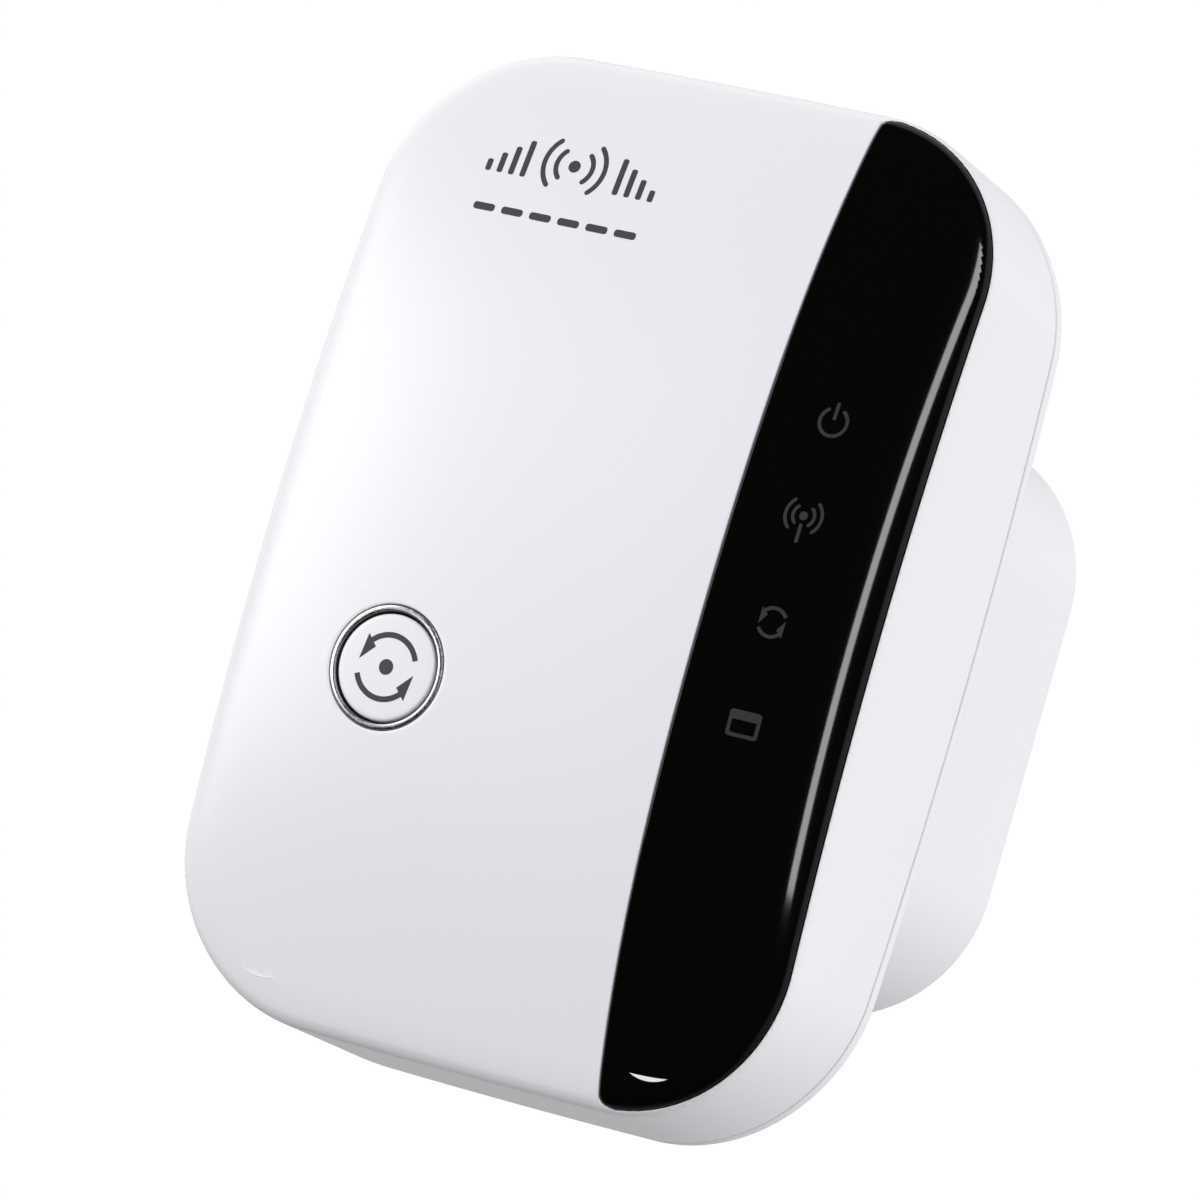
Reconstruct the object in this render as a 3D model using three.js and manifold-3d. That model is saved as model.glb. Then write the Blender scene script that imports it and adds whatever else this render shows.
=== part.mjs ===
// Wall-plug wifi range extender. Millimetres, +Z up, +X to the right seen from the front.
// The origin is the middle of the plug face; +Y points into the wall, so the front looks along -Y.
import * as THREE from 'three';
import { mergeVertices } from 'three/addons/utils/BufferGeometryUtils.js';
import Module from 'manifold-3d';

const wasm = await Module();
wasm.setup();

// ---- driving dimensions ----
const GAP = 0.3;                 // clearance between neighbouring pieces
const SLIDE_GAP = 0.2;           // clearance round a piece that slides
const RING_POINTS = 56;          // points round each housing outline
const ROUND_SIDES = 24;

const WIDTH = 66;
const HEIGHT = 98;
const BODY_Z = 2.6;              // the face is centred this far above the plug axis
const PARTING_Y = -24.2;         // joint between the two shells
const SIDE_DEPTH = 16.94;        // parting joint to front edge, at top and bottom
const DOME_Z = 4.3;              // crown of the face from top to bottom
const DOME_X = 1.2;              // further crown from side to side
const DRAFT = 0.6;               // how much the outline shrinks by the front edge
const EDGE_RADIUS = 1.4;
const CORNER = 17.4;
const CORNER_DRAFT = 1.2;        // how much smaller the corners are by the front edge
const SIDE_BULGE = 1.65;         // barrel of the long sides
const TOP_BULGE = 0.5;
const WALL = 2;
const FACE_WALL = 2.4;

const BLOCK_WIDTH = 64;
const BLOCK_HEIGHT = 59;
const BLOCK_CORNER = 15.1;
const BLOCK_EDGE = 2;
const PLATE_THICKNESS = 1.8;     // flat part of the rear shell round the block
const PLATE_Y = PARTING_Y + PLATE_THICKNESS;
const PLATE_ROUND = 0.5;
const LIP = { length: 2.2, wall: 1.1 };      // the rear shell's lip inside the front shell
const POST = { x: 22, z: 18, radius: 2, sides: 12 };   // four of them carry the power board
const BEYOND = 1;                // how far a cut runs past the surface it opens
const FRONT_OF_FACE = -60;       // a cut through the face starts here
const BEHIND_FACE = -40;         // and ends here

const STRIP_LEFT = 15.06;        // left edge of the dark strip at mid height
const STRIP_SWEEP = 1.4;         // how far that edge runs outward at the ends
const STRIP_INSET = 0.65;        // white margin left outside the strip
const STRIP_THICKNESS = 1.1;
const STRIP_TIP = 1.6;           // how far the strip's ends are cut back at its left corners
const STRIP_POINTS = 62;

const BUTTON = { x: -14.9, z: -11.2, radius: 5.1, flange: 6.5, wall: 1.1, top: 1.8, stem: 1.5, sides: 32 };
const RING = { inner: 5.35, outer: 5.95, flange: 7.6 };

const BOARD_Y = -37;             // middle of the main board
const BOARD = { width: 54, height: 82, thickness: 1.6 };
const BOARD_FRONT = BOARD_Y - BOARD.thickness / 2;
const BOARD_REAR = BOARD_Y + BOARD.thickness / 2;

const LED_X = 22;
const LED_TOP_Z = 20.5;
const LED_PITCH = 9.7;
const LED_MIDDLE_Z = LED_TOP_Z - 1.5 * LED_PITCH;
const LED_NAMES = ['power', 'signal', 'sync', 'port'];
const LED = { width: 2, height: 1.3, thickness: 1 };
const WINDOW = { width: 7, height: 37, corner: 2 };
const BAFFLE = { width: 8, height: 38, front: -42.6, well: 3.6 };
const GUIDE = { width: 5, height: 35, behindStrip: 0.5, peg: 3, pegToBoard: 1.6 };

const JACK = { width: 15.8, height: 11.5, depth: 18, x: -32.3, z: -22 };   // x of its mouth
const MOUTH = { width: 11.9, height: 6.9, depth: 14, roof: 1.7 };
const LATCH = { width: 6.4, height: 1.4, depth: 12 };
const CONTACTS = { count: 8, pitch: 1.02, width: 0.4, thickness: 0.35 };
const CONTACT_PATH = { tip: 11, bend: 4, tail: 16, drop: 2.2 };  // distances in from the mouth, and its slope
const COMB = { front: 3.25, rear: 16.75, exit: 1.6 };           // openings round the contacts
const RESET = { x: -31.9, y: -33.4, z: -4, radius: 1.6, flange: 2.6, stem: 1 };   // x of its finger end

const POWER_BOARD = { y: -9.6, width: 52, height: 48, thickness: 1.6 };
const POWER_FRONT = POWER_BOARD.y - POWER_BOARD.thickness / 2;
const POWER_REAR = POWER_BOARD.y + POWER_BOARD.thickness / 2;
const BLADE = { pitch: 12.7, width: 6.35, thickness: 1.52, reach: 16, tail: 7.6 };
const BLADE_TIP = { length: 1.8, inset: 1.2 };
const BLADE_HOLE = { y: 11.7, radius: 1.6 };
const INSERT = { width: 30, height: 22, corner: 4, flange: 2, depth: 4 };
const SCREW_SPOTS = [[-20, 40], [20, 40], [-20.5, -38], [20.5, -38]];
const BOSS = { thick: 4, thin: 2.6, tip: -41, pilot: 1.3, pilotDepth: 9 };
const SCREW = { head: 2.3, shank: 1, length: 8, sunk: 1 };
const VENTS = { count: 7, pitch: 4, width: 1.4, length: 12, y: -12 };

// ---- materials ----
const finish = (color, roughness, metalness = 0) =>
  new THREE.MeshStandardMaterial({ color, roughness, metalness });
const whiteGloss = () => finish(0xe9ebf0, 0.25);
const blackGloss = () => finish(0x050506, 0.08);
const steel = () => finish(0xc4c6c9, 0.3, 1);
const brass = () => finish(0xd6b05a, 0.35, 1);
const blackPlastic = () => finish(0x17181a, 0.6);
const boardGreen = () => finish(0x14502f, 0.55);

// ---- solids ----
function solid(geometry) {
  const bare = geometry.clone();
  bare.deleteAttribute('normal');
  bare.deleteAttribute('uv');
  const merged = mergeVertices(bare.index ? bare.toNonIndexed() : bare, 1e-4);
  const kept = [];
  for (let i = 0; i < merged.index.count; i += 3) {
    const [a, b, c] = [merged.index.getX(i), merged.index.getX(i + 1), merged.index.getX(i + 2)];
    if (a !== b && b !== c && c !== a) kept.push(a, b, c);
  }
  return new wasm.Manifold(new wasm.Mesh({
    numProp: 3,
    vertProperties: new Float32Array(merged.getAttribute('position').array),
    triVerts: new Uint32Array(kept),
  }));
}

function surface(body) {
  const mesh = body.getMesh();
  const geometry = new THREE.BufferGeometry();
  geometry.setAttribute('position', new THREE.BufferAttribute(new Float32Array(mesh.vertProperties), 3));
  geometry.setIndex(new THREE.BufferAttribute(new Uint32Array(mesh.triVerts), 1));
  return geometry;
}

const union = (...bodies) => bodies.reduce((sum, body) => sum.add(body));
const cut = (body, ...tools) => tools.reduce((left, tool) => left.subtract(tool), body);

// A box by its middle and its size.
const brick = (x, y, z, sx, sy, sz) => solid(new THREE.BoxGeometry(sx, sy, sz).translate(x, y, z));

// A round bar along Y, along Z or along X.
const barY = (radius, y0, y1, x = 0, z = 0, sides = ROUND_SIDES) =>
  solid(new THREE.CylinderGeometry(radius, radius, Math.abs(y1 - y0), sides)
    .translate(x, (y0 + y1) / 2, z));
const barZ = (radius, z0, z1, x = 0, y = 0, sides = ROUND_SIDES) =>
  solid(new THREE.CylinderGeometry(radius, radius, Math.abs(z1 - z0), sides)
    .rotateX(Math.PI / 2).translate(x, y, (z0 + z1) / 2));
const barX = (radius, length, x, y, z) =>
  solid(new THREE.CylinderGeometry(radius, radius, length, 20).rotateZ(Math.PI / 2).translate(x, y, z));

// A piece drawn facing down from height 0, turned to face out through the left wall at x.
const facingLeft = (body, { x, z }) => body.rotate([0, 90, 0]).translate([x, 0, z]);

// A shape drawn in X and Z, given depth between two Y values.
function slab(shape, y0, y1) {
  const depth = Math.abs(y1 - y0);
  const plain = { depth, bevelEnabled: false, curveSegments: 5 };
  const raw = new THREE.ExtrudeGeometry(shape, plain);
  return solid(raw.rotateX(Math.PI / 2).translate(0, Math.max(y0, y1), 0));
}

function roundedRectangle(width, height, corner, x = 0, z = 0) {
  const [a, b] = [width / 2, height / 2];
  const shape = new THREE.Shape();
  shape.moveTo(x + a, z);
  shape.absarc(x + a - corner, z + b - corner, corner, 0, Math.PI / 2);
  shape.absarc(x - a + corner, z + b - corner, corner, Math.PI / 2, Math.PI);
  shape.absarc(x - a + corner, z - b + corner, corner, Math.PI, Math.PI * 1.5);
  shape.absarc(x + a - corner, z - b + corner, corner, Math.PI * 1.5, Math.PI * 2);
  shape.closePath();
  return shape;
}

// ---- housing form ----
// Crown of the face: nothing at the top and bottom edges, most at the middle.
function crown(x, z) {
  const upright = 1 - (z / (HEIGHT / 2 - DRAFT)) ** 2;
  const across = 1 - Math.min(1, Math.abs(x) / (WIDTH / 2 - DRAFT)) ** 4;
  return upright * (DOME_Z + DOME_X * across);
}

// One outline of the housing, with barrelled sides, at `forward` of the way to the front edge.
function outline(forward, inset, count = RING_POINTS) {
  const [a, b] = [WIDTH / 2 - DRAFT * forward, HEIGHT / 2 - DRAFT * forward];
  const corner = CORNER - CORNER_DRAFT * forward - inset;
  const shape = roundedRectangle(2 * (a - inset), 2 * (b - inset), corner);
  return shape.getSpacedPoints(count).slice(0, count).map((p) => new THREE.Vector2(
    p.x * (1 - SIDE_BULGE * (1 - forward) * (p.y / b) ** 2 / a),
    p.y * (1 - TOP_BULGE * (p.x / a) ** 2 / b),
  ));
}

function blockOutline(inset) {
  const shape = roundedRectangle(BLOCK_WIDTH - 2 * inset, BLOCK_HEIGHT - 2 * inset, BLOCK_CORNER - inset);
  return shape.getSpacedPoints(RING_POINTS).slice(0, RING_POINTS);
}

// A closed skin through rings listed from rear to front. Each ring holds RING_POINTS points, and a
// ring of scale 0 is a single middle point.
function loft(rings) {
  const cage = new THREE.LatheGeometry(rings.map((_, j) => new THREE.Vector2(1, j)), RING_POINTS);
  const place = cage.getAttribute('position');
  for (let i = 0; i <= RING_POINTS; i += 1) {
    rings.forEach((ring, j) => {
      const p = ring[i % RING_POINTS];
      place.setXYZ(i * rings.length + j, p.x, p.y, p.z);
    });
  }
  return solid(cage);
}

const flatRing = (points, y, scale = 1) => points.map((p) => new THREE.Vector3(p.x * scale, y, p.y * scale));

// The face between its edge and its middle, `drop` behind the outer face.
function faceRings(points, drop, scales) {
  return scales.map((scale) => points.map((p) => {
    const [x, z] = [p.x * scale, p.y * scale];
    return new THREE.Vector3(x, PARTING_Y - SIDE_DEPTH + drop - crown(x, z), z);
  }));
}

// The front half of the housing as a plain lump, `inset` inside the outer side and `drop` behind the face.
function frontLump(rearY, inset, drop, edge) {
  const turn = (edge ? [0, 0.4, 0.8] : []).map((t) => {
    const angle = t * Math.PI / 2;
    const points = outline(1, inset + edge * (1 - Math.cos(angle)));
    return faceRings(points, drop + edge * (1 - Math.sin(angle)), [1])[0];
  });
  return loft([
    flatRing(outline(0, inset), rearY, 0),
    flatRing(outline(0, inset), rearY),
    ...turn,
    ...faceRings(outline(1, inset + edge), drop, [1, 0.7, 0.35, 0]),
  ]).translate([0, 0, BODY_Z]);
}

function blockLump(frontY, rearY, inset, edge) {
  const turn = (edge ? [1, 0.5, 0] : [0]).map((t) => {
    const angle = t * Math.PI / 2;
    return flatRing(blockOutline(inset + edge * (1 - Math.cos(angle))), rearY - edge * (1 - Math.sin(angle)));
  });
  return loft([
    flatRing(blockOutline(inset), rearY, 0),
    ...turn,
    flatRing(blockOutline(inset), frontY),
    flatRing(blockOutline(inset), frontY, 0),
  ]);
}

// The dark strip's outline: its left edge bows, and its right edge follows the front outline.
function stripOutline(grow) {
  const edge = outline(1, STRIP_INSET - grow, STRIP_POINTS);
  const left = (z) => STRIP_LEFT - grow + STRIP_SWEEP * (z / (HEIGHT / 2)) ** 4;
  const right = edge.filter((p) => p.x > left(p.y) + STRIP_TIP);
  right.sort((p, q) => p.y - q.y);
  const [low, high] = [right[0].y + STRIP_TIP, right[right.length - 1].y - STRIP_TIP];
  const shape = new THREE.Shape(right);
  const steps = 14;
  for (let i = 0; i <= steps; i += 1) {
    const z = high + (low - high) * i / steps;
    shape.lineTo(left(z), z);
  }
  shape.closePath();
  return shape;
}

// ---- outer pieces ----
const faceY = (x, z) => PARTING_Y - SIDE_DEPTH - crown(x, z - BODY_Z);
const lump = frontLump(PARTING_Y - GAP / 2, 0, 0, EDGE_RADIUS);
const stripZone = (grow) => slab(stripOutline(grow), FRONT_OF_FACE, PARTING_Y).translate([0, 0, BODY_Z]);

function frontShell() {
  const bosses = SCREW_SPOTS.map(([x, z]) => union(
    barY(BOSS.thick, BOSS.tip, BOARD_FRONT - GAP, x, z),
    barY(BOSS.thin, BOSS.tip, PARTING_Y - GAP / 2, x, z),
  ));
  const hollow = frontLump(PARTING_Y + BEYOND, WALL, FACE_WALL, 0);
  const recess = stripZone(GAP).subtract(lump.translate([0, STRIP_THICKNESS + GAP, 0]));
  const windowShape = roundedRectangle(WINDOW.width, WINDOW.height, WINDOW.corner, LED_X, LED_MIDDLE_Z);
  const jackCut = facingLeft(brick(0, BOARD_REAR + 6, 0, JACK.width + 2 * GAP, 12, 10), JACK);
  const pilots = SCREW_SPOTS.map(([x, z]) =>
    barY(BOSS.pilot, PARTING_Y + BEYOND, PARTING_Y - BOSS.pilotDepth, x, z));
  return cut(
    union(cut(lump, hollow), ...bosses),
    recess,
    slab(windowShape, FRONT_OF_FACE, BEHIND_FACE),
    jackCut,
    barY(RING.outer + GAP, FRONT_OF_FACE, BEHIND_FACE, BUTTON.x, BUTTON.z),
    facingLeft(barZ(RESET.radius + SLIDE_GAP, -4, 2, 0, RESET.y), RESET),
    ...pilots,
  );
}

function rearShell() {
  const frontY = PARTING_Y + GAP / 2;
  const plate = loft([
    flatRing(outline(0, PLATE_ROUND), PLATE_Y, 0),
    flatRing(outline(0, PLATE_ROUND), PLATE_Y),
    flatRing(outline(0, 0), PLATE_Y - PLATE_ROUND),
    flatRing(outline(0, 0), frontY),
    flatRing(outline(0, 0), frontY, 0),
  ]).translate([0, 0, BODY_Z]);
  const lipTip = PARTING_Y - LIP.length;
  const overlap = PLATE_THICKNESS / 2;
  const lip = cut(
    slab(new THREE.Shape(outline(0, WALL + GAP)), lipTip, PLATE_Y - overlap),
    slab(new THREE.Shape(outline(0, WALL + GAP + LIP.wall)), lipTip - BEYOND, PLATE_Y),
    facingLeft(brick(0, lipTip, 0, JACK.width + 2 * GAP, 2 * LIP.length + 3, 12),
      { x: JACK.x, z: JACK.z - BODY_Z }),
  ).translate([0, 0, BODY_Z]);
  const block = blockLump(PLATE_Y - overlap, 0, 0, BLOCK_EDGE);
  const hollow = blockLump(lipTip - BEYOND, -WALL, WALL, 0);
  const posts = [-POST.x, POST.x].flatMap((x) => [-POST.z, POST.z].map((z) =>
    barY(POST.radius, POWER_REAR + GAP, -WALL / 2, x, z, POST.sides)));
  const vents = Array.from({ length: VENTS.count }, (_, i) =>
    brick((i - (VENTS.count - 1) / 2) * VENTS.pitch, VENTS.y, 0,
      VENTS.width, VENTS.length, BLOCK_HEIGHT + 2 * BEYOND));
  const insertHole = slab(
    roundedRectangle(INSERT.width + 2 * GAP, INSERT.height + 2 * GAP, INSERT.corner + GAP),
    -WALL - BEYOND,
    BEYOND,
  );
  const screwCuts = SCREW_SPOTS.flatMap(([x, z]) => [
    barY(SCREW.head + GAP, PLATE_Y - SCREW.sunk, PLATE_Y + BEYOND, x, z, 20),
    barY(SCREW.shank + GAP, lipTip - BEYOND, PLATE_Y + BEYOND, x, z, 12),
  ]);
  return cut(union(cut(union(plate, lip, block), hollow), ...posts), insertHole, ...vents, ...screwCuts);
}

function indicatorStrip() {
  return stripZone(0).intersect(lump).subtract(lump.translate([0, STRIP_THICKNESS, 0]));
}

// Depths, front to rear, of the stack behind the round button.
const BUTTON_STACK = { flangeFront: -43, flangeRear: -42.2, capFlange: -41.9, capRear: -41.1 };
const STEM_TIP = -41.7;
const STEM_BASE = -39.9;

function buttonRing() {
  const { flangeFront, flangeRear } = BUTTON_STACK;
  const { x, z, sides } = BUTTON;
  const sleeve = barY(RING.outer, FRONT_OF_FACE, flangeRear, x, z, sides).intersect(lump);
  return cut(union(sleeve, barY(RING.flange, flangeFront, flangeRear, x, z, sides)),
    barY(RING.inner, FRONT_OF_FACE, BEHIND_FACE, x, z, sides));
}

function pairButton() {
  const { capFlange, capRear } = BUTTON_STACK;
  const { x, z, radius, flange, wall, top, stem, sides } = BUTTON;
  const cap = barY(radius, FRONT_OF_FACE, capRear, x, z, sides).intersect(lump);
  const cup = union(cap, barY(flange, capFlange, capRear, x, z, sides));
  const hollow = barY(radius - wall, faceY(x, z) + top, BEHIND_FACE, x, z, sides);
  return union(cut(cup, hollow), barY(stem, faceY(x, z) + top / 2, STEM_TIP - GAP, x, z));
}

const SWITCH = { side: 5.2, height: 2.4, stem: 1.2, floor: 1.1 };

function pairSwitchBody() {
  const rear = BOARD_FRONT - GAP;
  const middle = rear - SWITCH.height / 2;
  return cut(brick(BUTTON.x, middle, BUTTON.z, SWITCH.side, SWITCH.height, SWITCH.side),
    barY(SWITCH.stem + SLIDE_GAP, FRONT_OF_FACE, rear - SWITCH.floor, BUTTON.x, BUTTON.z, 20));
}

const pairSwitchStem = () => barY(SWITCH.stem, STEM_TIP, STEM_BASE, BUTTON.x, BUTTON.z, 20);

// Distances inward from the reset button's finger end.
const RESET_STACK = { flangeLow: 2.2, flangeHigh: 3, stemTip: 5.8, bodyLow: 6.8, stemTop: 7.6 };
const RESET_SWITCH = { width: 6, height: 5, depth: 4, well: 1.5 };
const JOIN = 0.1;                // overlap of solids that become one piece

function resetButton() {
  const { flangeLow, flangeHigh, stemTip } = RESET_STACK;
  return facingLeft(union(
    barZ(RESET.radius, 0, flangeLow + JOIN, 0, RESET.y),
    barZ(RESET.flange, flangeLow, flangeHigh, 0, RESET.y),
    barZ(RESET.stem, flangeHigh - JOIN, stemTip - GAP, 0, RESET.y, 16),
  ), RESET);
}

function resetSwitchBody() {
  const { bodyLow } = RESET_STACK;
  const { width, height, depth, well } = RESET_SWITCH;
  const middle = BOARD_REAR + GAP + height / 2;
  return facingLeft(cut(brick(0, middle, bodyLow + depth / 2, width, height, depth),
    barZ(RESET.stem + SLIDE_GAP, bodyLow - BEYOND, bodyLow + well, 0, RESET.y, 16)), RESET);
}

const resetSwitchStem = () =>
  facingLeft(barZ(RESET.stem, RESET_STACK.stemTip, RESET_STACK.stemTop, 0, RESET.y, 16), RESET);

function plugInsert() {
  const body = slab(roundedRectangle(INSERT.width, INSERT.height, INSERT.corner), -WALL - 0.5, 0);
  const flange = slab(roundedRectangle(INSERT.width + 2 * INSERT.flange,
    INSERT.height + 2 * INSERT.flange, INSERT.corner), -INSERT.depth, -WALL - GAP);
  const slots = [-1, 1].map((side) => brick(side * BLADE.pitch / 2, 0, 0,
    BLADE.thickness + 2 * GAP, 20, BLADE.width + 2 * GAP));
  return cut(union(body, flange), ...slots);
}

// A mains blade with chamfered tip and the usual round hole near it.
function blade(side) {
  const half = BLADE.width / 2;
  const outlineShape = new THREE.Shape();
  outlineShape.moveTo(-half, BLADE.tail);
  outlineShape.lineTo(half, BLADE.tail);
  outlineShape.lineTo(half, -BLADE.reach + BLADE_TIP.length);
  outlineShape.lineTo(half - BLADE_TIP.inset, -BLADE.reach);
  outlineShape.lineTo(-half + BLADE_TIP.inset, -BLADE.reach);
  outlineShape.lineTo(-half, -BLADE.reach + BLADE_TIP.length);
  outlineShape.closePath();
  const depth = BLADE.thickness;
  const plate = new THREE.ExtrudeGeometry(outlineShape, { depth, bevelEnabled: false })
    .translate(0, 0, -depth / 2).rotateZ(Math.PI).rotateY(Math.PI / 2);
  return solid(plate)
    .subtract(barX(BLADE_HOLE.radius, depth + 2 * BEYOND, 0, BLADE_HOLE.y, 0))
    .translate([side * BLADE.pitch / 2, 0, 0]);
}

function housingScrew(x, z) {
  const headFront = PLATE_Y - SCREW.sunk + GAP;
  return union(
    barY(SCREW.head, headFront, PLATE_Y - 0.05, x, z, 16),
    barY(SCREW.shank, PLATE_Y - SCREW.sunk - SCREW.length, headFront + JOIN, x, z, 12),
  );
}

// ---- main board ----
const onRear = (height, x, z, sx, sz) => brick(x, BOARD_REAR + GAP + height / 2, z, sx, height, sz);

function mainBoard() {
  const plate = slab(roundedRectangle(BOARD.width, BOARD.height, 13), BOARD_FRONT, BOARD_REAR)
    .translate([0, 0, BODY_Z]);
  const holes = SCREW_SPOTS.map(([x, z]) =>
    barY(BOSS.thin + GAP, BOARD_FRONT - BEYOND, BOARD_REAR + BEYOND, x, z));
  return cut(plate, ...holes);
}

const SHIELD = { x: 2, z: 10, width: 26, height: 22, depth: 2.8, wall: 0.4 };

function shieldCan() {
  const { x, z, width, height, depth, wall } = SHIELD;
  const outer = onRear(depth, x, z, width, height);
  const inner = brick(x, BOARD_REAR + GAP, z, width - 2 * wall, 2 * (depth - wall), height - 2 * wall);
  return outer.subtract(inner);
}

// A bent sheet antenna: a foot on the board, an upright and a long top plate.
const ANTENNA = { x: 22, z: 27.5, width: 4, foot: 3, height: 5, sheet: 0.4, top: 20, topWidth: 5 };

function antenna(side) {
  const rear = BOARD_REAR + GAP;
  const { x, z, width, foot, height, sheet, top, topWidth } = ANTENNA;
  const topX = x + width / 2 - top / 2;
  return union(
    brick(side * x, rear + sheet / 2, z + foot / 2, width, sheet, foot),
    brick(side * x, rear + height / 2, z + sheet / 2, width, height, sheet),
    brick(side * topX, rear + height - sheet / 2, z + topWidth / 2, top, sheet, topWidth),
  );
}

function jackHousing() {
  const front = BOARD_REAR + GAP;
  const middle = front + JACK.height / 2;
  const body = brick(0, middle, JACK.depth / 2, JACK.width, JACK.height, JACK.depth);
  const mouthY = front + MOUTH.roof;
  const mouth = brick(0, mouthY + MOUTH.height / 2, MOUTH.depth / 2 - 1,
    MOUTH.width, MOUTH.height, MOUTH.depth + 2);
  const latch = brick(0, mouthY + MOUTH.height + LATCH.height / 2 - BEYOND / 2, LATCH.depth / 2 - BEYOND,
    LATCH.width, LATCH.height + BEYOND, LATCH.depth + 2 * BEYOND);
  const combWidth = CONTACTS.count * CONTACTS.pitch + CONTACTS.width;
  const pocket = brick(0, mouthY - 0.4, (COMB.front + COMB.rear) / 2, combWidth, 1, COMB.rear - COMB.front);
  const exit = brick(0, front, CONTACT_PATH.tail, combWidth, 6, COMB.exit);
  return facingLeft(cut(body, mouth, latch, pocket, exit), JACK);
}

// One spring contact: a sloping leg in the mouth, turned back along the roof and down to the board.
function jackContact(index) {
  const front = BOARD_REAR + GAP;
  const roof = front + MOUTH.roof - 0.55;
  const half = CONTACTS.thickness / 2;
  const { tip, bend, tail, drop } = CONTACT_PATH;
  const shape = new THREE.Shape();
  shape.moveTo(tip, roof + drop);
  shape.lineTo(tip, roof + drop + 2 * half);
  shape.lineTo(bend, roof + half);
  shape.lineTo(bend, roof - half);
  shape.lineTo(tail - half, roof - half);
  shape.lineTo(tail - half, front + 0.1);
  shape.lineTo(tail + half, front + 0.1);
  shape.lineTo(tail + half, roof + half);
  shape.lineTo(bend + 1.2, roof + half);
  shape.closePath();
  const depth = CONTACTS.width;
  const wire = new THREE.ExtrudeGeometry(shape, { depth, bevelEnabled: false }).translate(0, 0, -depth / 2);
  const turned = wire.applyMatrix4(new THREE.Matrix4().makeBasis(
    new THREE.Vector3(0, 0, 1), new THREE.Vector3(0, 1, 0), new THREE.Vector3(-1, 0, 0)));
  const x = (index - (CONTACTS.count - 1) / 2) * CONTACTS.pitch;
  return facingLeft(solid(turned).translate([x, 0, 0]), JACK);
}

// ---- indicator lamps ----
const ledZ = (index) => LED_TOP_Z - index * LED_PITCH;
const stripRear = (z) => faceY(LED_X, z) + STRIP_THICKNESS;
const led = (index) =>
  brick(LED_X, BOARD_FRONT - GAP - LED.thickness / 2, ledZ(index), LED.width, LED.thickness, LED.height);

function lightBaffle() {
  const { width, height, front, well } = BAFFLE;
  const rear = BOARD_FRONT - GAP;
  const middle = (rear + front) / 2;
  const depth = rear - front;
  const frame = brick(LED_X, middle, LED_MIDDLE_Z, width, depth, height);
  const holes = LED_NAMES.map((_, i) => brick(LED_X, middle, ledZ(i), well, depth + 2 * BEYOND, well));
  return cut(frame, ...holes);
}

// One clear moulding: a bar in the window behind the strip, with a peg down to each lamp.
function lightGuide() {
  const front = stripRear(LED_TOP_Z) + GUIDE.behindStrip;
  const barRear = BAFFLE.front - GAP;
  const pegFront = barRear - JOIN;
  const pegRear = BOARD_FRONT - GUIDE.pegToBoard;
  const bar = brick(LED_X, (front + barRear) / 2, LED_MIDDLE_Z, GUIDE.width, barRear - front, GUIDE.height);
  const pegs = LED_NAMES.map((_, i) =>
    brick(LED_X, (pegFront + pegRear) / 2, ledZ(i), GUIDE.peg, pegRear - pegFront, GUIDE.peg));
  return union(bar, ...pegs);
}

// ---- power supply ----
const onPower = (height, x, z, sx, sz) => brick(x, POWER_FRONT - GAP - height / 2, z, sx, height, sz);
const canOnPower = (radius, height, x, z) =>
  barY(radius, POWER_FRONT - GAP, POWER_FRONT - GAP - height, x, z, 20);

const powerBoard = () =>
  slab(roundedRectangle(POWER_BOARD.width, POWER_BOARD.height, 8), POWER_FRONT, POWER_REAR);

const CORE = { x: 9, z: 5, width: 16, depth: 13, height: 6, leg: 2, centre: 4.4, yoke: 1.8, aboveBoard: 2 };
const CORE_Y = POWER_FRONT - CORE.aboveBoard - CORE.depth / 2;
const COIL = { overhang: 7, corner: 3, boreCorner: 0.5 };

function transformerCore() {
  const { x, z, width, depth, height, leg, centre, yoke } = CORE;
  const opening = (width - 2 * leg - centre) / 2;
  const windows = [-1, 1].map((side) =>
    brick(x + side * (centre + opening) / 2, CORE_Y, z, opening, depth - 2 * yoke, height + 2 * BEYOND));
  return cut(brick(x, CORE_Y, z, width, depth, height), ...windows);
}

function transformerCoil() {
  const { x, z, width, depth, height, leg, centre, yoke } = CORE;
  const half = depth / 2 - yoke - GAP;
  const outerShape = roundedRectangle(width - 2 * leg - 2 * GAP, height + COIL.overhang, COIL.corner);
  const boreShape = roundedRectangle(centre + 2 * GAP, height + 2 * GAP, COIL.boreCorner);
  const outer = slab(outerShape, CORE_Y - half, CORE_Y + half);
  const bore = slab(boreShape, CORE_Y - half - BEYOND, CORE_Y + half + BEYOND);
  return outer.subtract(bore).translate([x, 0, z]);
}

// A round component lying along X on the power board.
const lyingOnPower = (radius, length, x, z) => barX(radius, length, x, POWER_FRONT - GAP - radius, z);

const CLIP = { width: 7, leaf: 0.5, base: 0.6, height: 3.4 };

// Spring clip either side of a blade's tail.
function bladeContact(side) {
  const x = side * BLADE.pitch / 2;
  const front = POWER_REAR + GAP;
  const leafX = BLADE.thickness / 2 + GAP + CLIP.leaf / 2;
  const leaves = [-leafX, leafX].map((offset) =>
    brick(x + offset, front + (CLIP.base + CLIP.height) / 2, 0, CLIP.leaf, CLIP.height, CLIP.width));
  return union(brick(x, front + CLIP.base / 2, 0, 2 * leafX + CLIP.leaf, CLIP.base, CLIP.width), ...leaves);
}

const LINK = { x: 21, z: -2, pitch: 2.54, pin: 0.64, height: 2.5 };

function linkHeader() {
  const hole = LINK.pin + 2 * GAP;
  const holes = [-1, 1].map((side) =>
    brick(LINK.x, POWER_FRONT, LINK.z + side * LINK.pitch / 2, hole, 4 * LINK.height, hole));
  return cut(onPower(LINK.height, LINK.x, LINK.z, LINK.pitch, 2 * LINK.pitch), ...holes);
}

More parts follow.
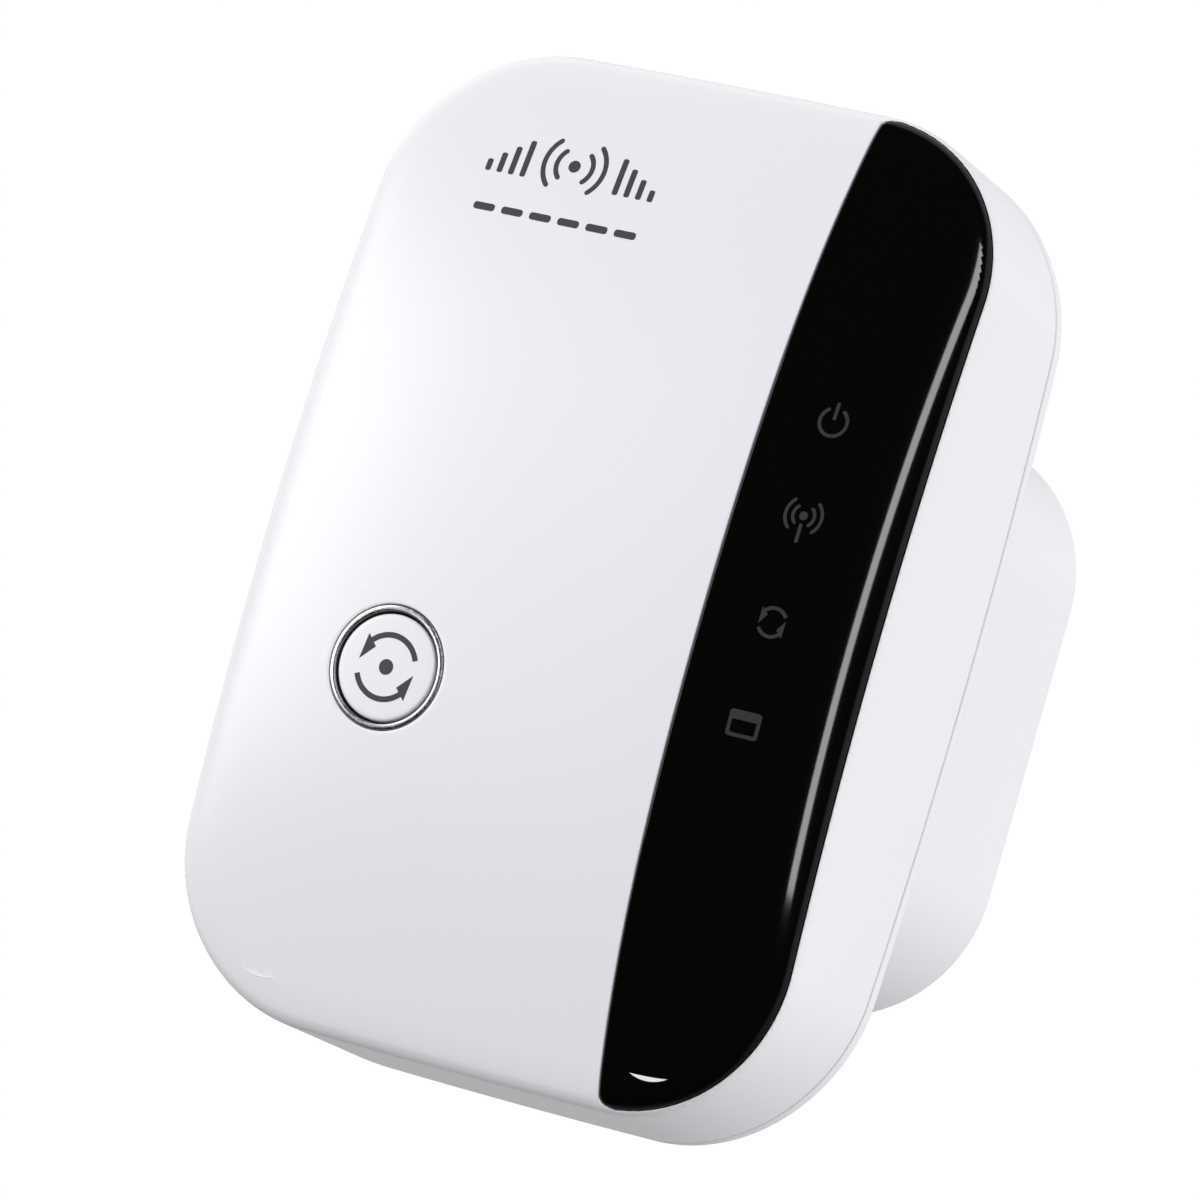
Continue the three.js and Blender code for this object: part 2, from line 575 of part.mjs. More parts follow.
function linkPin(side) {
  const [rear, front] = [POWER_FRONT - GAP, BOARD_REAR + GAP];
  return brick(LINK.x, (rear + front) / 2, LINK.z + side * LINK.pitch / 2, LINK.pin, rear - front, LINK.pin);
}

// ---- assembly ----
const extender = new THREE.Group();

function place(group, name, body, material) {
  const mesh = new THREE.Mesh(surface(body), material);
  mesh.name = name;
  group.add(mesh);
}

const housing = new THREE.Group();
place(housing, 'front_shell', frontShell(), whiteGloss());
place(housing, 'rear_shell', rearShell(), whiteGloss());
place(housing, 'indicator_strip', indicatorStrip(), blackGloss());
place(housing, 'button_ring', buttonRing(), finish(0x8a8d92, 0.2, 1));
place(housing, 'pair_button', pairButton(), whiteGloss());
place(housing, 'reset_button', resetButton(), blackPlastic());
place(housing, 'plug_insert', plugInsert(), whiteGloss());
place(housing, 'blade_left', blade(-1), brass());
place(housing, 'blade_right', blade(1), brass());
SCREW_SPOTS.forEach(([x, z], i) => place(housing, `housing_screw_${i + 1}`, housingScrew(x, z), steel()));

const electronics = new THREE.Group();
place(electronics, 'main_board', mainBoard(), boardGreen());
place(electronics, 'main_chip', onRear(1, SHIELD.x, SHIELD.z, 10, 10), blackPlastic());
place(electronics, 'chip_heat_pad', onRear(0.8, SHIELD.x, SHIELD.z, 9, 9).translate([0, 1.3, 0]),
  finish(0x8fa3b8, 0.8));
place(electronics, 'shield_can', shieldCan(), steel());
place(electronics, 'memory_chip', onRear(1, -18, 12, 6, 8), blackPlastic());
place(electronics, 'crystal', onRear(0.8, -18, 3, 3.2, 2.5), steel());
place(electronics, 'lan_transformer', onRear(3.5, 0, -20, 15, 7), blackPlastic());
place(electronics, 'board_inductor', onRear(3, 20, -10, 5, 5), finish(0x4a4c50, 0.7));
place(electronics, 'board_capacitor', barY(3.15, BOARD_REAR + GAP, BOARD_REAR + 8, 19, -20, 20),
  finish(0xb9bcc2, 0.35, 1));
place(electronics, 'antenna_left', antenna(-1), steel());
place(electronics, 'antenna_right', antenna(1), steel());
place(electronics, 'jack_housing', jackHousing(), blackPlastic());
for (let i = 0; i < CONTACTS.count; i += 1) {
  place(electronics, `jack_contact_${i + 1}`, jackContact(i), brass());
}
place(electronics, 'pair_switch_body', pairSwitchBody(), steel());
place(electronics, 'pair_switch_stem', pairSwitchStem(), blackPlastic());
place(electronics, 'reset_switch_body', resetSwitchBody(), blackPlastic());
place(electronics, 'reset_switch_stem', resetSwitchStem(), blackPlastic());
LED_NAMES.forEach((name, i) => place(electronics, `led_${name}`, led(i), finish(0xf2f0df, 0.3)));
place(electronics, 'light_baffle', lightBaffle(), blackPlastic());
place(electronics, 'light_guide', lightGuide(), finish(0xf4f6f8, 0.1));

const supply = new THREE.Group();
place(supply, 'power_board', powerBoard(), finish(0xb58a4a, 0.6));
place(supply, 'transformer_core', transformerCore(), finish(0x3a3c40, 0.6));
place(supply, 'transformer_coil', transformerCoil(), finish(0xe0b93a, 0.5));
place(supply, 'bulk_capacitor_1', canOnPower(4, 13, -18, 13), finish(0x1d1f24, 0.4));
place(supply, 'bulk_capacitor_2', canOnPower(4, 13, -18, 3), finish(0x1d1f24, 0.4));
place(supply, 'bridge_rectifier', onPower(2.5, -18, -9, 6.5, 5), blackPlastic());
place(supply, 'fuse', lyingOnPower(1.6, 9, -4, -19), finish(0x9fb4a0, 0.5));
place(supply, 'safety_capacitor', lyingOnPower(4, 3, -6, 15), finish(0x2d6cab, 0.5));
place(supply, 'controller_chip', onPower(1.5, -7, -8, 5, 4), blackPlastic());
place(supply, 'output_capacitor', canOnPower(3.15, 11, 17, -15), finish(0x1d1f24, 0.4));
place(supply, 'output_choke', canOnPower(3, 8, 8, -15), finish(0x4a4c50, 0.7));
place(supply, 'blade_contact_left', bladeContact(-1), brass());
place(supply, 'blade_contact_right', bladeContact(1), brass());
place(supply, 'link_header', linkHeader(), blackPlastic());
place(supply, 'link_pin_positive', linkPin(1), brass());
place(supply, 'link_pin_negative', linkPin(-1), brass());

extender.add(housing, electronics, supply);
export default extender;
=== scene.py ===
"""Looks of a wall-plug range extender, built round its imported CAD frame.

Lengths are drawn in millimetres and scaled by MM when a mesh is made. +Z is up, the front looks
along -Y and +Y points into the wall. A flat outline holds (x, z) points, counter-clockwise as seen
from the front, and measures z from the housing's middle; a skin drawn that way is lifted by BODY_Z.
"""

import math

import bmesh
import bpy
import numpy as np
from mathutils import Matrix, Vector
from mathutils.geometry import delaunay_2d_cdt

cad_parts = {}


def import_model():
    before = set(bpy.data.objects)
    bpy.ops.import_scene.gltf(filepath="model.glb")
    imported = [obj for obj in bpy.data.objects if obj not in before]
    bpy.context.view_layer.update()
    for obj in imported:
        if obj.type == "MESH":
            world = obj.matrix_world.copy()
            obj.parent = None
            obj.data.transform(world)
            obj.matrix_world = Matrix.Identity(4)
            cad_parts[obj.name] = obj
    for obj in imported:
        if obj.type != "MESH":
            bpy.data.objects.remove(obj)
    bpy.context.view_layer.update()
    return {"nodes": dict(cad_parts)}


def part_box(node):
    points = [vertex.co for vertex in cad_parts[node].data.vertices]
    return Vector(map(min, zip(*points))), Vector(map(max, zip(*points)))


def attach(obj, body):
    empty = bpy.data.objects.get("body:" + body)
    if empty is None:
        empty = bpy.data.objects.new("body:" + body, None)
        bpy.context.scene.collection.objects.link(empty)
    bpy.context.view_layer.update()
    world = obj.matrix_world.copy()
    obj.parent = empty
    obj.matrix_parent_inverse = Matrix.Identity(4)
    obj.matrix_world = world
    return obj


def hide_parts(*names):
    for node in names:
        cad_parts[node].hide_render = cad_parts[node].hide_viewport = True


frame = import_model()
NODES = frame["nodes"]

MM = 0.001
WELD = 1.5e-6                          # metres


def span(node):
    """Lowest and highest corner of a CAD node, in millimetres."""
    low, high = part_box(node)
    return np.array(low) / MM, np.array(high) / MM


# ---- sizes taken from the frame ----
FRONT_LOW, FRONT_HIGH = span("front_shell")
REAR_FRONT = span("rear_shell")[0][1]  # tip of the rear shell's lip
INSERT_FRONT = span("plug_insert")[0][1]
RING_LOW, RING_HIGH = span("button_ring")
RESET_LOW, RESET_HIGH = span("reset_button")
JACK_LOW, JACK_HIGH = span("jack_housing")

HALF_W = (FRONT_HIGH[0] - FRONT_LOW[0]) / 2
HALF_H = (FRONT_HIGH[2] - FRONT_LOW[2]) / 2
BODY_Z = (FRONT_HIGH[2] + FRONT_LOW[2]) / 2
JOINT_FRONT = FRONT_HIGH[1]            # rear edge of the front shell
JOINT_REAR = REAR_FRONT + 2.35         # front edge of the rear shell, outside its lip
BUTTON_X = (RING_HIGH[0] + RING_LOW[0]) / 2
BUTTON_Z = (RING_HIGH[2] + RING_LOW[2]) / 2

# ---- the housing's form, as in the CAD source ----
CROWN_Z = 4.3                          # crown of the face from top to bottom
CROWN_X = 1.2                          # further crown from side to side
EDGE_Y = FRONT_LOW[1] + CROWN_Z + CROWN_X
DRAFT = 0.6
CORNER = 17.4
CORNER_DRAFT = 1.2
SIDE_BULGE = 1.65
TOP_BULGE = 0.5
WALL = 2.0
FACE_WALL = 2.4
OUTLINE_POINTS = 360

# ---- fine form that only the looks need ----
EDGE_ROUND = 1.15
ROLL_WIDTH = 3.6                       # band inside the edge where the face starts to roll over
ROLL_DROP = 0.4
LIP = 0.14                             # rounding of the openings in the face
SEAM_ROUND = 0.2                       # rounding of the shells' edges at their joint


# ---- openings, strip and button ----
STRIP_LEFT = 15.06                     # left edge of the dark strip at mid height
STRIP_SWEEP = 1.4                      # how far that edge runs outward at the ends
STRIP_INSET = 0.45                     # white margin left outside the strip
STRIP_TIP = 0.9                        # rounding of its two left corners
STRIP_THICKNESS = 1.1
STRIP_GAP = 0.1
RECESS_DEPTH = STRIP_THICKNESS + 0.3
RING_GAP = 0.06
STRIP_RIM = 0.16
RING_OUTER = 5.95
RING_INNER = 5.35
WINDOW_X, WINDOW_HALF_W = 22.0, 3.5
LED_SPANS = [span(f"led_{name}") for name in ("power", "signal", "sync", "port")]
LED_Z = [(low[2] + high[2]) / 2 for low, high in LED_SPANS]
WINDOW_HALF_H = 18.5
SCREW_SPANS = [span(f"housing_screw_{i}") for i in range(1, 5)]
SCREWS = [((low[0] + high[0]) / 2, (low[2] + high[2]) / 2) for low, high in SCREW_SPANS]
RESET_X = RESET_LOW[0]                 # its finger end
RESET_Y = (RESET_LOW[1] + RESET_HIGH[1]) / 2
RESET_Z = (RESET_LOW[2] + RESET_HIGH[2]) / 2
JACK_X = JACK_LOW[0]                   # its mouth
JACK_Z = (JACK_LOW[2] + JACK_HIGH[2]) / 2
JACK_HALF_W = (JACK_HIGH[2] - JACK_LOW[2]) / 2
JACK_DEPTH = JACK_HIGH[0] - JACK_LOW[0]
RESET_RADIUS = 1.6
SLIDE_GAP = 0.2
RING_FLANGE = (7.6, -43.0, -42.2)      # radius, front and rear
CAP_FLANGE = (6.5, -41.9, -41.1)
CAP_RADIUS = 5.1
STEM_TIP = -42.0                       # rear end of the button's stem
POCKET_Y = -41.0                       # floor of the pocket under the button

# ---- inner form, rear block and plug ----
BOARD_FRONT = span("main_board")[0][1]
BOSS = {"thick": 4.0, "thin": 2.6, "pilot": 1.3, "pilot_depth": 9.0}
GAP = 0.3
BLOCK_HALF_W, BLOCK_HALF_H, BLOCK_CORNER = 32.0, 29.5, 15.1
BLOCK_EDGE = 2.0
BLOCK_FOOT = 0.6                       # fillet where the plug block meets the plate
PLATE_Y = span("housing_screw_1")[1][1] + 0.05
PLATE_ROUND = 0.5
VENTS = {"count": 7, "pitch": 4.0, "width": 1.4, "front": -18.0, "rear": -6.0}
SCREW = {"head": 2.3, "shank": 1.0, "sunk": 1.0}
POWER_REAR = span("power_board")[1][1]
INSERT = {"half_w": 15.0, "half_h": 11.0, "corner": 4.0, "flange": 2.0}
BLADE = {"pitch": 12.7, "width": 6.35, "thickness": 1.52, "hole": 1.6, "hole_y": 11.7}
POST = {"x": 22, "z": 18, "radius": 2}
LIP_WALL = 1.1
BLADE_TIP = {"lead": 2.4, "nose": 1.3}  # length of its taper, and how far it narrows
MOUTH = {"half_w": 5.95, "height": 6.9, "roof": 1.7, "depth": 14.0}
LATCH = {"half_w": 3.2, "height": 1.4}
CONTACTS = {"count": 8, "pitch": 1.02, "width": 0.4, "thickness": 0.35}

# ---- studio, in metres ----
FLOOR_Z = -0.9
DOME_RADIUS = 4.0
ON_FACE = True                         # marks a profile point measured from the face


# ---- flat outlines ----
def arc(x, z, radius, start, end, count):
    """Points along an arc, in degrees from +X towards +Z."""
    angles = np.radians(np.linspace(start, end, count))
    return np.stack([x + radius * np.cos(angles), z + radius * np.sin(angles)], axis=1)


def circle(radius, count, x=0.0, z=0.0):
    return arc(x, z, radius, 0, 360, count + 1)[:-1]


def resampled(loop, count):
    """A closed loop with that many evenly spaced points, starting at its first point."""
    closed = np.vstack([loop, loop[:1]])
    along = np.concatenate([[0], np.cumsum(np.linalg.norm(np.diff(closed, axis=0), axis=1))])
    at = np.arange(count) * along[-1] / count
    return np.stack([np.interp(at, along, closed[:, k]) for k in range(2)], axis=1)


def rounded_rectangle(half_w, half_h, corner, count=96, x=0.0, z=0.0):
    """Evenly spaced points round a rounded rectangle, starting at its right middle."""
    a, b = half_w - corner, half_h - corner
    fine = 160
    loop = np.vstack([
        [[half_w, 0]],
        arc(a, b, corner, 0, 90, fine),
        arc(-a, b, corner, 90, 180, fine),
        arc(-a, -b, corner, 180, 270, fine),
        arc(a, -b, corner, 270, 360, fine),
    ])
    return resampled(loop, count) + [x, z]


def housing_outline(forward, inset=0.0, count=OUTLINE_POINTS):
    """The housing's outline, `forward` of the way from the joint to the front edge."""
    a, b = HALF_W - DRAFT * forward, HALF_H - DRAFT * forward
    corner = CORNER - CORNER_DRAFT * forward - inset
    p = rounded_rectangle(a - inset, b - inset, corner, count)
    x = p[:, 0] * (1 - SIDE_BULGE * (1 - forward) * (p[:, 1] / b) ** 2 / a)
    z = p[:, 1] * (1 - TOP_BULGE * (p[:, 0] / a) ** 2 / b)
    return np.stack([x, z], axis=1)


def offset(loop, distance):
    """A closed counter-clockwise loop moved outward along its own normals."""
    tangent = np.roll(loop, -1, axis=0) - np.roll(loop, 1, axis=0)
    tangent /= np.linalg.norm(tangent, axis=1)[:, None]
    return loop + distance * np.stack([tangent[:, 1], -tangent[:, 0]], axis=1)


def distance_to(points, loop):
    """Shortest distance from each point to a closed loop."""
    start = loop
    along = np.roll(loop, -1, axis=0) - start
    length2 = (along ** 2).sum(axis=1)
    nearest = np.empty(len(points))
    step = 2000
    for first in range(0, len(points), step):
        p = points[first:first + step, None, :]
        t = np.clip(((p - start) * along).sum(axis=2) / length2, 0, 1)
        gap = p - (start + t[..., None] * along)
        nearest[first:first + step] = np.sqrt((gap ** 2).sum(axis=2).min(axis=1))
    return nearest


def inside(points, loop):
    """Whether each point lies in a closed loop."""
    x, z = points[:, 0][:, None], points[:, 1][:, None]
    (x0, z0), (x1, z1) = loop.T, np.roll(loop, -1, axis=0).T
    crosses = (z0 > z) != (z1 > z)
    rise = np.where(z1 == z0, 1, z1 - z0)
    return (crosses & (x < x0 + (z - z0) * (x1 - x0) / rise)).sum(axis=1) % 2 == 1


def grid(outer, step, clear, avoid=()):
    """Evenly spread points inside a loop, at least `clear` from it and from the loops to avoid."""
    low, high = outer.min(axis=0), outer.max(axis=0)
    xs = np.arange(low[0], high[0], step)
    zs = np.arange(low[1], high[1], step * math.sin(math.pi / 3))
    points = np.array([(x + step / 2 * (k % 2), z) for k, z in enumerate(zs) for x in xs])
    points = points[inside(points, outer)]
    for loop in (outer, *avoid):
        points = points[distance_to(points, loop) > clear]
    return points


def clear_of(points, loops, gap=0.05):
    """The points that lie outside every loop, and no nearer to one than the gap."""
    for loop in loops:
        points = points[~inside(points, loop) & (distance_to(points, loop) > gap)]
    return points


def clear_inside(points, loop, gap):
    """The points inside a loop, no nearer to it than the gap."""
    return points[inside(points, loop) & (distance_to(points, loop) > gap)]


# ---- the face ----
FRONT_EDGE = housing_outline(1)
FINE_EDGE = housing_outline(1, count=4 * OUTLINE_POINTS)


def crown(x, z):
    upright = 1 - (z / (HALF_H - DRAFT)) ** 2
    across = 1 - np.minimum(1, np.abs(x) / (HALF_W - DRAFT)) ** 4
    return upright * (CROWN_Z + CROWN_X * across)


def face_depth(points):
    """Y of the outer face at flat points: crowned, rolling over towards its rounded edge."""
    near = distance_to(points, FINE_EDGE)
    roll = ROLL_DROP * np.clip(1 - near / ROLL_WIDTH, 0, 1) ** 2
    lean = np.clip(EDGE_ROUND - near, 0, EDGE_ROUND)
    rounding = EDGE_ROUND - np.sqrt(EDGE_ROUND ** 2 - lean ** 2)
    return EDGE_Y - crown(points[:, 0], points[:, 1]) + roll + rounding


def lip_drop(points, loop, radius=LIP):
    """How far a rounded lip round a loop falls back from the face."""
    lean = np.clip(radius - distance_to(points, loop), 0, radius)
    return radius - np.sqrt(radius ** 2 - lean ** 2)


def quarter(radius, steps=4):
    """(inset, drop) pairs round a quarter circle, from its rim to the flat that it runs into."""
    angles = np.linspace(0, math.pi / 2, steps + 1)
    return [(radius * (1 - math.cos(a)), radius * (1 - math.sin(a))) for a in angles]


# ---- mesh building ----
def raised(points, depth):
    """Flat points and their depths as 3-D points."""
    return np.stack([points[:, 0], np.broadcast_to(depth, len(points)), points[:, 1]], axis=1)


def along_z(points, height):
    """Points of a plan (x, y) at a height."""
    return np.stack([points[:, 0], points[:, 1], np.broadcast_to(height, len(points))], axis=1)


def along_x(points, x):
    """Points of a side view (y, z) at a distance to the side."""
    return np.stack([np.broadcast_to(x, len(points)), points[:, 0], points[:, 1]], axis=1)


def filled(outer, holes=(), extra=()):
    """Flat points and triangles that cover the area between loops."""
    points, edges = [], []
    for loop in (outer, *holes):
        base, count = len(points), len(loop)
        points.extend(loop)
        edges.extend((base + i, base + (i + 1) % count) for i in range(count))
    points.extend(extra)
    made = delaunay_2d_cdt([Vector(p) for p in points], edges, [], 0, 1e-6)
    flat = np.array([points[source[0]] if source else tuple(v) for v, source in zip(made[0], made[3])])
    tris = np.array([tuple(f) for f in made[2]])
    middle = flat[tris].mean(axis=1)
    kept = inside(middle, outer)
    for hole in holes:
        kept &= ~inside(middle, hole)
    return flat, tris[kept]


class Skin:
    """Collects the patches of one closed surface, in millimetres."""

    def __init__(self):
        self.verts = []
        self.faces = []

    def add(self, verts, faces):
        base = len(self.verts)
        self.verts.extend(tuple(v) for v in verts)
        self.faces.extend([base + i for i in face] for face in faces)

    def band(self, rings):
        """Quads between loops of the same number of 3-D points."""
        count = len(rings[0])
        steps = [(k * count, i, (i + 1) % count) for k in range(len(rings) - 1) for i in range(count)]
        self.add(np.vstack(rings), [(b + i, b + j, b + count + j, b + count + i) for b, i, j in steps])

    def patch(self, depth, outer, holes=(), extra=()):
        """A sheet over the area between loops; depth gives its y at flat points."""
        flat, tris = filled(outer, holes, extra)
        self.add(raised(flat, depth(flat)), tris)

    def cap(self, *rings):
        for ring in rings:
            self.add(ring, [tuple(range(len(ring)))])

    def build(self, name, lift=0.0, sharp=35.0):
        mesh = bpy.data.meshes.new(name)
        mesh.from_pydata([(x * MM, y * MM, (z + lift) * MM) for x, y, z in self.verts], [], self.faces)
        shape = bmesh.new()
        shape.from_mesh(mesh)
        bmesh.ops.remove_doubles(shape, verts=shape.verts, dist=WELD)
        bmesh.ops.recalc_face_normals(shape, faces=shape.faces)
        loose = [v for v in shape.verts if not v.link_faces]
        bmesh.ops.delete(shape, geom=loose, context="VERTS")
        shape.to_mesh(mesh)
        shape.free()
        piece = bpy.data.objects.new(name, mesh)
        bpy.context.scene.collection.objects.link(piece)
        return shade(piece, sharp)


def shade(piece, sharp=35.0):
    piece.data.shade_smooth()
    piece.data.set_sharp_from_angle(angle=math.radians(sharp))
    return piece


def combined(piece, operation, *others):
    """Joins or cuts a piece with each other object, which is used up."""
    for other in others:
        step = piece.modifiers.new("combine", "BOOLEAN")
        step.operation = operation
        step.solver = "MANIFOLD"
        step.object = other
        bpy.context.view_layer.update()
        made = bpy.data.meshes.new_from_object(piece.evaluated_get(bpy.context.evaluated_depsgraph_get()))
        piece.modifiers.clear()
        used = [piece.data, other.data]
        piece.data = made
        bpy.data.objects.remove(other)
        for mesh in used:
            bpy.data.meshes.remove(mesh)
    return shade(piece)


def cut(piece, *tools):
    return combined(piece, "DIFFERENCE", *tools)


def joined(piece, *others):
    return combined(piece, "UNION", *others)


def facing_left(piece, x, z):
    """Turns a piece that was drawn facing down from height 0 to face out through the left wall at x."""
    piece.data.transform(Matrix.Translation((x * MM, 0, z * MM)) @ Matrix.Rotation(math.pi / 2, 4, "Y"))
    return piece


def prism(name, outline, low, high, place=raised, rim=0.0, lift=0.0):
    """A solid between two values along an axis, with rounded rims."""
    rings = [place(offset(outline, -inset), low + drop) for inset, drop in reversed(quarter(rim))]
    rings += [place(offset(outline, -inset), high - drop) for inset, drop in quarter(rim)]
    if not rim:
        rings = [place(outline, low), place(outline, high)]
    skin = Skin()
    skin.band(rings)
    flat, tris = filled(offset(outline, -rim))
    for value in (low, high):
        skin.add(place(flat, value), tris)
    return skin.build(name, lift)


def bar(name, radius, low, high, place=raised, at=(0.0, 0.0), rim=0.0, sides=64):
    return prism(name, circle(radius, sides, *at), low, high, place, rim)


def slab(name, low, high, corner=0.05, rim=0.0, place=raised):
    """A rounded box between two corners; its outline lies across the axis that place runs along."""
    order = {raised: [0, 2, 1], along_z: [0, 1, 2], along_x: [1, 2, 0]}[place]
    low, high = (np.array(v, float)[order] for v in (low, high))
    half, middle = (high - low) / 2, (high + low) / 2
    outline = rounded_rectangle(half[0], half[1], max(corner, rim + 0.02), 96, *middle[:2])
    return prism(name, outline, low[2], high[2], place, rim)


def turned(name, profile, x, z, sides=128, sharp=35.0):
    """A body of revolution about a line along Y.

    The profile lists (radius, y) from one end to the other. An entry (radius, y, ON_FACE) measures
    y from the face at each point. An end of radius 0 closes in a point.
    """
    rings = []
    for radius, y, *on_face in profile:
        flat = circle(radius, sides, x, z - BODY_Z)
        rings.append(raised(flat, face_depth(flat) + y if on_face else y))
    skin = Skin()
    skin.band(rings)
    skin.cap(*(rings[k] for k in (0, -1) if profile[k][0]))
    return skin.build(name, BODY_Z, sharp)


def swept(name, path, width, thickness, rim, x):
    """A strip bent along a side-view path of (y, z) points, `width` wide and centred on x."""
    path = np.array(path, float)
    tangent = np.gradient(path, axis=0)
    tangent /= np.linalg.norm(tangent, axis=1)[:, None]
    normal = np.stack([-tangent[:, 1], tangent[:, 0]], axis=1)
    section = rounded_rectangle(width / 2, thickness / 2, rim, 20)
    rings = []
    for at, out in zip(path, normal):
        side = at + section[:, 1:] * out
        rings.append(np.stack([x + section[:, 0], side[:, 0], side[:, 1]], axis=1))
    skin = Skin()
    skin.band(rings)
    skin.cap(rings[0], rings[-1])
    return skin.build(name, sharp=50)


def rounded_path(corners, radius, steps=8):
    """A polyline with its inner corners rounded by curves."""
    corners = [np.array(c, float) for c in corners]
    path = [corners[0]]
    for before, corner, after in zip(corners, corners[1:], corners[2:]):
        start = corner + (before - corner) / np.linalg.norm(before - corner) * radius
        end = corner + (after - corner) / np.linalg.norm(after - corner) * radius
        for t in np.linspace(0, 1, steps):
            path.append((1 - t) ** 2 * start + 2 * t * (1 - t) * corner + t ** 2 * end)
    return np.array([*path, corners[-1]])


# ---- materials ----
class Nodes:
    """Adds nodes to a tree; each input is a value or another node's socket."""

    def __init__(self, tree):
        self.nodes, self.links = tree.nodes, tree.links

    def new(self, kind, inputs=None, **settings):
        node = self.nodes.new(kind)
        for name, value in settings.items():
            setattr(node, name, value)
        for name, value in (inputs or {}).items():
            if isinstance(value, bpy.types.NodeSocket):
                self.links.new(value, node.inputs[name])
            else:
                node.inputs[name].default_value = value
        return node

    def ramp(self, value, low, high, to_low=0.0, to_high=1.0, blend="LINEAR"):
        inputs = {"Value": value, "From Min": low, "From Max": high, "To Min": to_low, "To Max": to_high}
        return self.new("ShaderNodeMapRange", inputs, interpolation_type=blend).outputs["Result"]

    def math(self, operation, a, b):
        return self.new("ShaderNodeMath", {0: a, 1: b}, operation=operation).outputs[0]


class Finish(Nodes):
    """A node material on one Principled shader, patterned in metres of object space."""

    def __init__(self, name, color, roughness, metallic=0.0, **sockets):
        self.material = bpy.data.materials.new(name)
        self.material.use_nodes = True
        super().__init__(self.material.node_tree)
        self.shader = self.nodes["Principled BSDF"]
        self.where = self.nodes.new("ShaderNodeTexCoord").outputs["Object"]
        self.color = (*color, 1.0)
        self.shader.inputs["Base Color"].default_value = self.color
        self.shader.inputs["Roughness"].default_value = roughness
        self.shader.inputs["Metallic"].default_value = metallic
        for socket, value in sockets.items():
            self.shader.inputs[socket.replace("_", " ")].default_value = value
        self.height = None

    def noise(self, scale, detail=3.0, roughness=0.5, stretch=None, turn=0.0):
        where = self.where
        if stretch:
            where = self.new("ShaderNodeMapping", {"Vector": where, "Scale": stretch,
                                                   "Rotation": (0.3, turn, turn / 2)}).outputs[0]
        made = self.new("ShaderNodeTexNoise", {"Vector": where, "Scale": scale, "Detail": detail,
                                               "Roughness": roughness})
        return made.outputs["Fac"]

    def mix(self, amount, first, second):
        made = self.new("ShaderNodeMix", data_type="RGBA")
        for socket, value in ((0, amount), (6, first), (7, second)):
            if isinstance(value, bpy.types.NodeSocket):
                self.links.new(value, made.inputs[socket])
            else:
                made.inputs[socket].default_value = value
        return made.outputs[2]

    def paint(self, amount, color):
        """Lays another colour over the base colour where the amount is high."""
        socket = self.shader.inputs["Base Color"]
        under = socket.links[0].from_socket if socket.is_linked else self.color
        self.links.new(self.mix(amount, under, (*color, 1.0)), socket)
        return self

    def rough(self, value):
        self.links.new(value, self.shader.inputs["Roughness"])
        return self

    def bump(self, value, strength, distance):
        """Adds relief of that many metres; later relief rides on earlier relief."""
        inputs = {"Height": value, "Strength": strength, "Distance": distance}
        if self.height:
            inputs["Normal"] = self.height
        self.height = self.new("ShaderNodeBump", inputs).outputs["Normal"]
        self.links.new(self.height, self.shader.inputs["Normal"])
        return self

    def scratches(self, low=0.66, high=0.76):
        """Fine hairlines in two directions, 0 to 1."""
        first = self.ramp(self.noise(1.0, 1.0, stretch=(140, 140, 9000), turn=0.6), low, high)
        second = self.ramp(self.noise(1.0, 1.0, stretch=(9000, 160, 160), turn=-0.9), low, high)
        return self.math("MAXIMUM", first, second)


def shade_of(color, factor):
    return tuple(min(1.0, c * factor) for c in color)


def moulded(name, color, roughness, grain=1.0, **sockets):
    """Injection-moulded plastic: faint flow marks, handling smudges and fine grain."""
    f = Finish(name, color, roughness, **sockets)
    flow = f.noise(22, 2.0)
    smudge = f.noise(60, 1.0, 0.4)
    grain_noise = f.noise(5200, 2.0)
    f.paint(f.ramp(flow, 0.2, 0.8, 0.0, 0.4), shade_of(color, 0.98))
    f.paint(f.ramp(smudge, 0.2, 0.9, 0.0, 0.12), shade_of(color, 0.95))
    f.rough(f.ramp(smudge, 0.1, 0.9, roughness * 0.96, roughness * 1.04))
    return f.bump(grain_noise, 0.03 * grain, 4e-6)


def metal(name, color, roughness, brushed=0.0, stain=0.15, **sockets):
    """Stamped or plated metal: rolling lines, tarnish spots and handling marks."""
    f = Finish(name, color, roughness, 1.0, **sockets)
    lines = f.noise(1.0, 3.0, stretch=(160, 7000, 900), turn=0.0)
    cloud = f.noise(420, 5.0, 0.6)
    hairs = f.scratches(0.6, 0.7)
    f.paint(f.ramp(cloud, 0.5, 0.8, 0.0, stain * 2), shade_of(color, 0.62))
    base = f.ramp(cloud, 0.3, 0.75, roughness * 0.75, roughness * 1.35)
    f.rough(f.math("ADD", base, f.math("MULTIPLY", hairs, 0.12)))
    f.bump(lines, 0.1 + brushed, 3e-6)
    f.bump(hairs, 0.15, -3e-6)
    return f


def white_shell():
    return moulded("gloss_white_plastic", (0.845, 0.855, 0.885), 0.27, Specular_IOR_Level=0.5)


def black_lens():
    return moulded("polished_black_acrylic", (0.0022, 0.0018, 0.0015), 0.06, 0.2, IOR=1.36)


def printed_ink(name, color):
    f = Finish(name, color, 0.5, Specular_IOR_Level=0.3)
    speck = f.noise(3800, 3.0)
    wear = f.noise(700, 4.0, 0.65)
    f.paint(f.ramp(wear, 0.6, 0.8, 0.0, 0.5), shade_of(color, 1.6))
    f.rough(f.ramp(speck, 0.3, 0.7, 0.42, 0.6))
    return f.bump(speck, 0.2, 4e-6)


